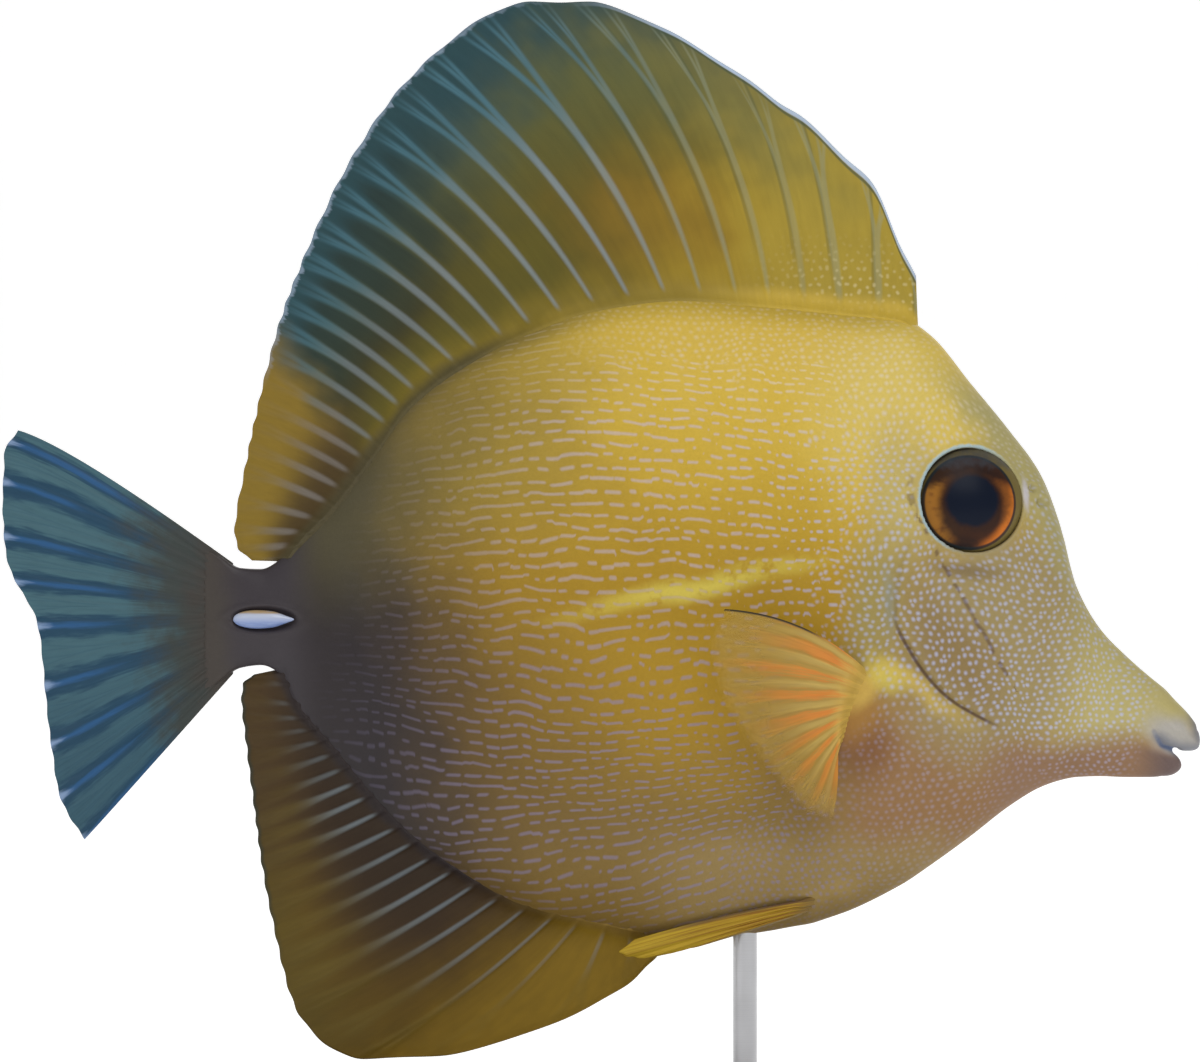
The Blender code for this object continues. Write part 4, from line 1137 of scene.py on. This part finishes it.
def dorsal_finish():
    f = RayFinish("dorsal_membrane", DORSAL_SPLITS)
    n, s = f.number + f.wander * 2.0, f.share + f.wander * 0.12
    amber = f.step(abs(n - 6.5), 3.0, 0.5) * f.step(abs(s - 0.3), 0.3, 0.05)
    olive = f.step(n, 3.0, 5.5) * f.step(n, 10.5, 8.0) * f.step(abs(s - 0.6), 0.28, 0.05)
    teal = f.step(s + f.step(n, 4.5, 9.0) * 0.22, 0.74, 1.12) * f.step(n, 2.0, 5.5)
    navy = f.step(n, 8.0, 12.0) * f.step(s, 0.3, 0.6) * f.step(f.to_edge, 0.5, 4.0)
    rear = f.step(n + s * 2.4, 18.8, 21.2)
    shade = f.step(abs(f.behind - 0.55), 0.4, 0.1) * f.step(s, 0.1, 0.4) * f.step(n, 9, 6)
    width = 0.16 + f.step(s, 0.0, 0.45) * (0.15 + f.draw * 0.05) - f.step(s, 0.55, 0.95) * 0.16
    width = width + f.step(n, 5.0, 2.0) * f.step(s, 0.95, 0.4) * 0.14
    tone = f.paint(
        RAY_FRONT,
        (RAY_PALE, f.step(n, 4.5, 8.0)),
        (RAY_TEAL, f.step(s, 0.4, 0.8) * f.step(n, 3, 7)),
        (REAR_LILAC, rear * 0.7),
    )
    strength = f.step(f.from_body, 0.2, 1.4) * (0.46 + f.step(n, 3.5, 7.5) * 0.36)
    strength = strength * (1 - f.step(f.to_edge + f.draw * 2, 4.5, 0.5) * 0.75) * (0.8 + f.draw * 0.2)
    strength = strength * (1 - rear * f.step(s, 0.35, 0.85) * 0.85) * (1 - f.step(n, 10, 15) * 0.38)
    front = f.step(f.number, 5.5, 3.5)
    spots = dots(f, f.x, f.axis_z, FIN_DOT_PITCH, FIN_DOT_RADIUS, 0.13, 0.12)
    spots = spots * f.step(f.from_body, 9.0, 1.0) * f.step(f.x, 13, 26)
    fringe = f.step(f.to_edge + f.fibre * 1.4, 0.5, 0.1) * f.step(n, 5, 8) * f.step(n, 20, 16)
    low_front = f.step(f.number, 7.0, 3.5)
    melt = f.step(f.from_body + f.wander * 1.5 - low_front * 0.9, 1.2, -0.2)
    skin_tone = f.mix(f.mix(BACK_GOLD, UPPER_REAR, f.step(n, 8, 12)), SHOULDER, low_front * 0.8)
    colour = f.paint(
        FRONT_GOLD,
        (BASE_GOLD, f.step(n, 2.0, 6.5)),
        (DARK_OLIVE, f.step(n + s * 3, 5.0, 9.5) * (1 - f.step(s, 0.22, 0.02) * 0.5)),
        (AMBER, amber * 0.45),
        (DEEP_OLIVE, f.step(n, 10.0, 14.0) * f.step(s, 0.15, 0.45) * 0.85),
        (DARK_OLIVE, olive * 0.65),
        (GREEN, f.step(n, 0.5, 4.0) * f.step(s, 0.35, 0.8) * 0.62),
        (TEAL, teal),
        (NAVY, navy * f.step(f.branch, 0.04, 0.26) * 0.8),
        (REAR_GOLD, rear * f.step(s, 0.1, 0.6)),
        (REAR_TAN, f.step(n, 17.5, 21.0) * f.step(s, 0.75, 0.25) * 0.85),
        (EDGE_DARK, shade * 0.35),
        (tone, f.drawn(width, 0.2) * strength),
        (EDGE_DARK, f.step(abs(f.to_edge - 0.85), 0.35, 0.1) * front * 0.7),
        (EDGE_PALE, f.step(f.to_edge, 0.75, 0.45) * front * 0.85),
        (MARK_GOLD, spots * 0.4),
        (EDGE_PALE, fringe * 0.4),
        (skin_tone, melt * f.step(n, 14, 10) * (0.6 + low_front * 0.25)),
        (REAR_OLIVE, melt * f.step(n, 10, 14) * 0.85),
    )
    return f.close(colour, 0.24)


ANAL_FRONT = srgb(132, 104, 22)
ANAL_DARK = srgb(62, 45, 24)
ANAL_SHADE = srgb(45, 33, 22)
ANAL_MIDDLE = srgb(96, 73, 14)
ANAL_RIM = srgb(87, 73, 26)
ANAL_REAR = srgb(68, 51, 28)
RAY_TAN = srgb(112, 98, 46)


def anal_finish():
    f = RayFinish("anal_membrane", ANAL_SPLITS)
    n, s = f.number + f.wander * 1.6, f.share + f.wander * 0.12
    broad = f.step(s, 0.3, 0.75)
    width = 0.14 + f.step(s, 0.0, 0.3) * 0.1 + broad * (0.14 + f.draw * 0.16)
    tone = f.mix(RAY_PALE, RAY_TAN, f.step(s, 0.25, 0.7))
    strength = f.step(f.from_body, 0.0, 1.2) * (0.29 + f.step(n, 2.5, 6.0) * 0.29)
    strength = strength * (1 - f.step(f.to_edge + f.draw * 2, 6.0, 0.5) * 0.75) * (0.75 + f.draw * 0.25)
    strength = strength * (1 - f.step(n, 12, 18) * 0.65)
    drawn = f.drawn(width, 0.16) * (1 - broad) + f.drawn(width, 0.4) * broad * 0.6
    melt = f.step(f.from_body + f.wander * 1.5, 0.9, -0.3)
    colour = f.paint(
        ANAL_FRONT,
        (ANAL_MIDDLE, f.step(n, 2.0, 5.0)),
        (ANAL_DARK, f.step(n, 3.5, 7.0) * f.step(s, 0.95, 0.35)),
        (ANAL_RIM, f.step(s, 0.6, 1.0) * f.step(n, 3, 6) * 0.7),
        (ANAL_DARK, f.step(n, 9.0, 13.0) * 0.6),
        (ANAL_SHADE, f.step(n, 5.0, 9.0) * f.step(s, 0.85, 0.25) * 0.8),
        (ANAL_REAR, f.step(n, 12.0, 16.0) * f.step(f.to_edge, 8.0, 1.0) * 0.8),
        (tone, drawn * strength),
        (NAVY, f.step(f.to_edge, 0.5, 0.15) * f.step(n, 6, 12) * 0.6),
        (f.mix(BELLY, REAR_BROWN, f.step(n, 2, 8)), melt * 0.8),
    )
    return f.close(colour, 0.28)


TAIL_BASE = srgb(60, 64, 60)
TAIL_BAND = srgb(67, 100, 110)
TAIL_DEEP = srgb(35, 68, 90)
TAIL_BLUE = srgb(48, 96, 148)
TAIL_EDGE = srgb(150, 172, 204)


def caudal_finish():
    f = RayFinish("tail_membrane", CAUDAL_SPLITS)
    s = f.share + f.wander * 0.14
    bands = f.maths("COSINE", (f.number + f.wander * 0.5) * math.pi) * 0.5 + 0.5
    middle = abs(f.span - f.maths("PINGPONG", f.number, 1.0) * f.span)
    blue = f.step(middle + f.fibre * 0.7, 0.48, 0.05) * f.step(s + f.draw * 0.25 + f.fibre * 0.3, 0.42, 0.7)
    mottled = f.noise(f.where, 0.6, 3.0) - 0.5
    colour = f.paint(
        TAIL_DEEP,
        (TAIL_BAND, f.step(bands + f.fibre * 0.9, 0.2, 0.75)),
        (TAIL_DEEP, f.drawn(0.03) * f.step(s, 0.35, 0.6) * 0.35),
        (TAIL_DEEP, f.step(f.axis_z + f.wander * 6, 0, -13) * 0.4),
        (TAIL_BLUE, blue * 0.62),
        (TAIL_EDGE, f.step(f.to_edge + f.fibre * 3 + middle * 3, 2.2, 0.2) * 0.7),
        (TAIL_BASE, f.step(s + f.fibre * 0.1 + mottled * 0.25, 0.42, 0.16) * 0.94),
        (TAIL_BROWN, f.step(f.from_body + f.wander * 2 + mottled * 4, 5.0, 1.2) * 0.85),
    )
    return f.close(colour, 0.3)


FAN_ORANGE = srgb(202, 136, 56)
FAN_DEEP = srgb(208, 122, 48)
FAN_PALE = srgb(178, 146, 70)
FAN_LIGHT = srgb(200, 170, 92)
FAN_BASE = srgb(210, 172, 84)
FAN_LINE = srgb(60, 52, 38)


def pectoral_finish():
    f = RayFinish("pectoral_membrane", PECTORAL_SPLITS, 0.45)
    s = f.share + f.wander * 0.08
    bands = f.maths("COSINE", (f.number * 1.15 + 0.4 + f.wander * 0.8) * math.pi) * 0.5 + 0.5
    uneven = bands + f.fibre * 1.2 + (f.draw - 0.5) * 0.5
    line = f.step(f.number * f.span, 0.3, 0.08) * f.step(f.number, 2, 1) * f.step(s, 0.3, 0.5)
    colour = f.paint(
        FAN_PALE,
        (FAN_LIGHT, f.step(bands, 0.4, 0.0) * f.step(s, 0.85, 0.35) * 0.8),
        (FAN_ORANGE, f.step(uneven, 0.25, 0.95) * f.step(s + f.draw * 0.25, 1.15, 0.5)),
        (FAN_DEEP, f.step(uneven, 0.45, 1.0) * f.step(s + f.draw * 0.25, 0.9, 0.3) * 0.7),
        (FAN_ORANGE, f.step(f.number, 10.5, 13.0) * f.step(s, 0.8, 0.4) * 0.4),
        (FAN_BASE, f.step(s + f.fibre * 0.3, 0.24, 0.06)),
        (BASE_YELLOW, f.step(f.from_body, 2.2, 0.6)),
        (FAN_LINE, line),
    )
    dense = f.step(s, 1.05, 0.15) * 0.55 + 0.34 + f.drawn(0.1) * f.step(s, 0.1, 0.3) * 0.12
    dense = dense + f.step(bands, 0.4, 1.0) * f.step(s, 0.95, 0.4) * 0.2
    alpha = dense * f.step(f.to_edge + f.fibre * 0.5, -0.3, 1.7) + line * 0.6
    return f.close(colour, 0.3, 0.0, alpha=f.maths("MINIMUM", alpha, 1.0))


PELVIC_YELLOW = srgb(176, 142, 38)
PELVIC_LIGHT = srgb(196, 166, 50)
PELVIC_DARK = srgb(134, 92, 26)
PELVIC_GREY = srgb(150, 142, 128)


def pelvic_finish():
    f = RayFinish("pelvic_membrane", PELVIC_SPLITS, 0.45)
    streaks = f.noise(f.vector(f.number * 2.4, f.share * 1.2), 1.6)
    colour = f.paint(
        PELVIC_DARK,
        (PELVIC_YELLOW, f.step(streaks, 0.4, 0.56)),
        (PELVIC_LIGHT, f.step(f.share, 0.4, 0.9) * 0.5),
        (PELVIC_GREY, f.step(f.number, 4.0, 5.0) * f.step(f.share, 0.95, 0.6) * 0.7),
        # The dark line along the top ray is partly the fin's own brown streak and partly painted shadow
        # from the belly above it.
        (LINE_BROWN, f.step(f.number, 0.5, 0.1) * f.step(f.share, 0.9, 0.6) * 0.8),
        (BELLY, f.step(f.share + f.fibre * 0.1, 0.22, 0.06)),
    )
    return f.close(colour, 0.2, 0.0)


def make_fins():
    """Every fin, with what each is built from in the order that make_fin unpacks it."""
    tall, tail, bright = "dorsal_and_anal_membrane", "tail_membrane", "bright_membrane"
    dorsal, anal = median_fin(DORSAL_GUIDES, back_at, 1), median_fin(ANAL_GUIDES, belly_at, -1)
    dorsal_build = (14, 110, 1.1, 0.15, 0.22, 0.3, 0.15, 0.8, 0.12)
    anal_build = (14, 90, 1.0, 0.15, 0.22, 0.28, 0.14, 0.0, 0.12)
    caudal_build = (16, 110, 0.35, 0.16, 0.2, 0.24, 0.26, -0.25, 0.1)
    fan_build = (12, 70, 0.5, 0.13, 0.1, 0.2, 0.2, 0.0, 0.06)
    blade_build = (14, 70, 0.4, 0.18, 0.18, 0.2, 0.2, 0.0, 0.05)
    fan, blade = pectoral_finish(), pelvic_finish()
    fins = [
        ("dorsal_fin", DORSAL_RAYS, dorsal, dorsal_build, DORSAL_SPLITS, dorsal_finish(), tall),
        ("anal_fin", ANAL_RAYS, anal, anal_build, ANAL_SPLITS, anal_finish(), tall),
        ("caudal_fin", CAUDAL_RAYS, caudal_place, caudal_build, CAUDAL_SPLITS, caudal_finish(), tail),
    ]
    for side, word in SIDES:
        fan_at, blade_at = pectoral_place(side), pelvic_place(side)
        fins += [
            ("pectoral_fin_" + word, PECTORAL_RAYS, fan_at, fan_build, PECTORAL_SPLITS, fan, bright),
            ("pelvic_fin_" + word, PELVIC_RAYS, blade_at, blade_build, PELVIC_SPLITS, blade, bright),
        ]
    for fin in fins:
        make_fin(*fin)


# Eyes and tail spines

PUPIL = srgb(16, 23, 38)
EYE_BROWN = srgb(40, 27, 24)
IRIS_ORANGE = srgb(190, 108, 38)
IRIS_GOLD = srgb(150, 100, 38)
IRIS_DARK = srgb(108, 64, 30)
IRIS_GLOW = srgb(206, 112, 36)
IRIS_EDGE = srgb(30, 38, 42)
EYE_OLIVE = srgb(112, 98, 54)
EYE_TOP_REFLECTION = srgb(60, 64, 70)


def eye_finish():
    f = Finish("eyeball", roughness=0.35, coat_weight=0.09, coat_roughness=0.34, specular_ior_level=0.05)
    ahead, above, away = f.noted("eye_place")
    ahead, above = ahead + LOOK_BACK, above + LOOK_DOWN
    plane = f.vector(ahead, above)
    turned = f.maths("ARCTAN2", above, ahead)
    spokes = f.noise(f.vector(turned * 7.0, away * 0.8), 1.0, 3.0) - 0.5
    clouds = f.noise(plane, 0.9) - 0.5
    shape = f.vector(ahead + clouds * 0.5, above + clouds * 0.5)
    outer = f.vectors("LENGTH", plane, output="Value")
    colour = f.paint(
        IRIS_ORANGE,
        (IRIS_GOLD, f.step(ahead + spokes * 2, 0.5, -2.6)),
        (IRIS_DARK, f.step(away + spokes * 1.2, 4.1, 3.0) * 0.8),
        (IRIS_DARK, f.step(spokes + clouds, 0.02, 0.3) * 0.6),
        (IRIS_GLOW, f.zone(plane, (2.3, -3.3), (1.7, 0.4), 36, soft=0.7) * 0.7),
        (EYE_BROWN, f.zone(shape, (0.0, -0.5), (3.3, 3.85), soft=0.16) * 0.93),
        (EYE_BROWN, f.zone(shape, (-0.8, -5.0), (1.9, 1.5), soft=0.5)),
        # Painted shade across the top of the eye.
        (EYE_BROWN, f.step(above + spokes * 0.6 + abs(ahead) * 0.3, 2.2, 3.4) * 0.95),
        (PUPIL, f.zone(shape, (0.0, 0.0), (2.6, 2.55), soft=0.12)),
        (EYE_OLIVE, f.step(outer, 4.55, 4.75)),
        (IRIS_EDGE, f.step(abs(outer - 4.58), 0.22, 0.06) * 0.9),
        # A painted soft grey reflection over the top of the eye, with specks.
        (EYE_TOP_REFLECTION, f.step(above + spokes * 1.2, 3.0, 3.9) * (0.6 + clouds)),
    )
    f.feed(base_color=colour)
    return f


def make_eye(side, word, finish):
    """A flattened ball whose front bulges a little over the pupil."""
    lat, lon = ball_angles(BALL_RINGS, EYE_AROUND)
    wide = EYE_RADIUS * np.sin(lat)
    local = [wide * np.cos(lon), wide * np.sin(lon), EYE_DEPTH * np.cos(lat) + 0.12 * bump_at(lat, 0.5)]
    made = make_rings("eyeball_" + word, set_out(*eye_axes(side), local), finish, capped=False)
    note(made.data, "eye_place", *(v.ravel() for v in (local[0], local[1], wide)))
    place_in_frame(face_outward(made, weld=True), "eye", "eye_" + word)


BLADE_SHADE = srgb(118, 140, 190)
BLADE_PALE = srgb(184, 192, 212)
BLADE_TAN = srgb(176, 150, 112)
BLADE_BLUE = srgb(160, 176, 206)


def spine_finish():
    f = Finish("tail_spine_bone", roughness=0.3, coat_weight=0.4, coat_roughness=0.15)
    x, _, z = f.parts(f.place())
    axis_z = z - AXIS_HEIGHT
    streaks = f.noise(f.vector(x * 0.6, axis_z * 5), 1.4)
    colour = f.paint(
        BLADE_SHADE,
        (BLADE_PALE, f.step(axis_z + 0.1, -0.5, 0.4)),
        (BLADE_TAN, f.step(axis_z + 0.1, 0.45, 0.7)),
        (BLADE_BLUE, f.step(streaks, 0.5, 0.75) * 0.4),
    )
    f.feed(base_color=colour)
    f.bump(streaks, 0.2, 0.05)
    return f


def make_tail_spine(side, word, finish):
    """The blade that lies in its groove with its point forward, and a ridge along its side."""
    lat, lon = ball_angles(BALL_RINGS, SPINE_AROUND)
    n = facing(SPINE_X, SPINE_AXIS_Z, side)
    centre = on_side(SPINE_X, SPINE_AXIS_Z, side, SPINE_PROUD - SPINE_HALF_THICK * 0.5)
    along = Vector((n.y * side, -n.x * side, 0)).normalized()
    ways = (along, Vector((0, 0, 1)), Vector((n.x, n.y, 0)).normalized())
    t = np.cos(lat)
    wide = np.sin(lat) * (1.0 - 0.22 * t) * (1 - 0.4 * ramp(t, 0.3, 1.0))
    sharp = np.sign(np.sin(lon)) * np.abs(np.sin(lon)) ** 1.25
    local = [t * SPINE_HALF_LENGTH, wide * np.cos(lon) * SPINE_HALF_HEIGHT, wide * sharp * SPINE_HALF_THICK]
    made = make_rings("tail_blade_" + word, set_out(centre, ways, local), finish, capped=False)
    place_in_frame(face_outward(made, weld=True), "tail_spine", "tail_spine_" + word)


# The stand

STEEL_DARK, STEEL_LIGHT = srgb(168, 168, 170), srgb(206, 206, 208)
WOOD_DARK, WOOD_LIGHT, WOOD_PORE = srgb(40, 27, 20), srgb(84, 57, 40), srgb(24, 16, 12)


def steel_finish():
    f = Finish("brushed_steel", metallic=1.0, roughness=0.3)
    place = f.place()
    lines = f.noise(f.vector(f.parts(place)[2] * 6.0, 0.0), 3.0, 3.0)
    f.feed(base_color=f.mix(STEEL_DARK, STEEL_LIGHT, lines), roughness=0.22 + f.noise(place, 0.3) * 0.2)
    f.bump(lines, 0.25, 0.02)
    return f


def wood_finish():
    f = Finish("dark_wood", roughness=0.4, coat_weight=0.25, coat_roughness=0.2)
    place = f.place()
    x, y, z = f.parts(place)
    rings = f.noise(f.vector(x * 0.03, y * 0.5 + f.noise(place, 0.05) * 4, z * 0.5), 1.2, 4.0)
    pores = f.noise(f.vector(x * 0.25, y * 4.0, z * 4.0), 1.0)
    grain, open_pores = f.step(rings, 0.35, 0.7), f.step(pores, 0.58, 0.72)
    colour = f.paint(WOOD_DARK, (WOOD_LIGHT, grain), (WOOD_PORE, open_pores * 0.7))
    f.feed(base_color=colour, roughness=0.34 + pores * 0.2)
    f.bump(pores * 0.5 + rings * 0.5, 0.3, 0.05)
    return f


def in_mm(corners):
    """Two corners in metres as points in millimetres."""
    return (np.array(corner) / MM for corner in corners)


def turned_piece(name, x, profile, finish, around=96):
    """A piece turned on a lathe, from radius and height pairs, bottom to top."""
    radius, height = np.array(profile, float).T[:, :, None]
    angles = round_angles(around)
    rings = spread(x + radius * np.cos(angles), radius * np.sin(angles), height)
    made = face_outward(make_rings(name, rings, finish, capped=False), weld=True)
    made.data.set_sharp_from_angle(angle=SHARP_ANGLE)
    return made


def make_plinth(finish, low, high):
    """A flat base with rounded corners and a fine rounded edge along its top."""
    centre, half = (low + high) / 2, (high - low) / 2
    profile = [(1.4, 0.0), (0.5, 0.0), (0.0, 0.5)]
    for a in np.linspace(0, math.pi / 2, ROUND_STEPS + 1):
        profile.append((PLINTH_ROUND * (1 - math.cos(a)), high[2] - PLINTH_ROUND * (1 - math.sin(a))))
    inset, height = np.array(profile).T[:, :, None]
    quarter = np.arange(4).repeat(CORNER_STEPS + 1)
    angles = (quarter + np.tile(np.linspace(0, 1, CORNER_STEPS + 1), 4)) * math.pi / 2
    corner_x, corner_y = np.array([1, -1, -1, 1])[quarter], np.array([1, 1, -1, -1])[quarter]
    x = centre[0] + corner_x * (half[0] - PLINTH_CORNER) + (PLINTH_CORNER - inset) * np.cos(angles)
    y = corner_y * (half[1] - PLINTH_CORNER) + (PLINTH_CORNER - inset) * np.sin(angles)
    plinth = make_rings("stand_plinth", spread(x, y, height), finish)
    plinth.data.set_sharp_from_angle(angle=SHARP_ANGLE)
    place_in_frame(plinth, "stand_base", "stand_base")


def make_stand():
    """The plinth, a thin rod and the turned collar at its foot."""
    steel = steel_finish()
    low, high = in_mm(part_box("stand_base"))
    make_plinth(wood_finish(), low, high)
    foot = high[2]
    rod_low, rod_high = in_mm(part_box("stand_rod"))
    rod_x, rod_radius = (rod_low[0] + rod_high[0]) / 2, (rod_high[0] - rod_low[0]) / 2
    ends = (foot - 1.0, rod_high[2])
    profile = [(0, ends[0]), (rod_radius, ends[0]), (rod_radius, ends[1]), (0, ends[1])]
    place_in_frame(turned_piece("stand_pin", rod_x, profile, steel, 48), "stand_metal", "stand_rod")

    collar_low, collar_high = in_mm(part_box("stand_collar"))
    radius, top = (collar_high[0] - collar_low[0]) / 2, collar_high[2]
    profile = [
        (0, foot),
        (radius, foot),
        (radius, foot + 0.7),
        (radius - 0.15, foot + 0.9),
        (radius - 0.7, foot + 1.0),
        (radius - 0.9, foot + 1.3),
        (radius - 1.2, top - 0.5),
        (rod_radius + 0.7, top - 0.12),
        (rod_radius + 0.5, top),
        (0, top),
    ]
    place_in_frame(turned_piece("stand_ferrule", rod_x, profile, steel), "stand_metal", "stand_collar")


# The studio

WHITE = (1, 1, 1, 1)
FLOOR_DARK, FLOOR_LIGHT, FLOOR_GLOW = srgb(242, 242, 242), srgb(246, 246, 246), 0.5
WORLD_LIGHT = 0.37
FLOOR_NEAR, FLOOR_FAR, FLOOR_BEND, FLOOR_WIDE, FLOOR_TALL = -2500.0, 1700.0, 800.0, 2600.0, 2600.0
BEND_STEPS = 24
# Lights: name, place in metres, size and power.
LIGHTS = (
    ("key", (0.2, -0.75, 0.85), 0.7, 4.5),
    ("fill", (-0.9, -0.6, 0.35), 0.8, 1.0),
    ("back", (0.3, 0.9, 0.8), 0.8, 1.8),
)


def make_floor():
    """A pale floor that curves up behind."""
    pale = Finish("pale_floor", roughness=0.9, specular_ior_level=0.1)
    pale.feed(base_color=pale.mix(FLOOR_DARK, FLOOR_LIGHT, pale.noise(pale.place(), 0.02)))
    pale.socket("emission_color").default_value = WHITE
    pale.socket("emission_strength").default_value = FLOOR_GLOW
    side_on = [(FLOOR_NEAR, 0.0), (FLOOR_FAR, 0.0)]
    for i in range(1, BEND_STEPS + 1):
        a = math.radians(90 * i / BEND_STEPS)
        side_on.append((FLOOR_FAR + FLOOR_BEND * math.sin(a), FLOOR_BEND * (1 - math.cos(a))))
    side_on.append((FLOOR_FAR + FLOOR_BEND, FLOOR_TALL))
    points = [(x, y, z) for y, z in side_on for x in (-FLOOR_WIDE, FLOOR_WIDE)]
    faces = [(2 * i, 2 * i + 1, 2 * i + 3, 2 * i + 2) for i in range(len(side_on) - 1)]
    make_piece("studio_floor", points, faces, pale)


def make_studio():
    """The floor, soft lights and the camera."""
    make_floor()
    scene = bpy.context.scene
    scene.world = bpy.data.worlds.new("studio")
    scene.world.use_nodes = True
    light = scene.world.node_tree.nodes["Background"].inputs
    light["Color"].default_value, light["Strength"].default_value = WHITE, WORLD_LIGHT
    aim = Vector((0, 0, AXIS_HEIGHT * MM))
    for name, place, size, power in LIGHTS:
        data = bpy.data.lights.new(name, "AREA")
        data.size, data.energy = size, power
        made = add_object(name, data)
        made.location = place
        made.rotation_euler = (aim - Vector(place)).to_track_quat("-Z", "Y").to_euler()
        made.visible_camera = False

    data = bpy.data.cameras.new("camera")
    data.lens, data.sensor_width = CAMERA_LENS, CAMERA_SENSOR
    scene.camera = add_object("camera", data)
    scene.camera.location = (0, -CAMERA_AWAY, CAMERA_HEIGHT * MM)
    scene.camera.rotation_euler = (math.radians(90), 0, 0)
    scene.view_settings.view_transform = "Standard"


def main():
    make_studio()
    make_skin()
    make_fins()
    iris, bone = eye_finish(), spine_finish()
    for side, word in SIDES:
        make_eye(side, word, iris)
        make_tail_spine(side, word, bone)
    make_stand()


main()
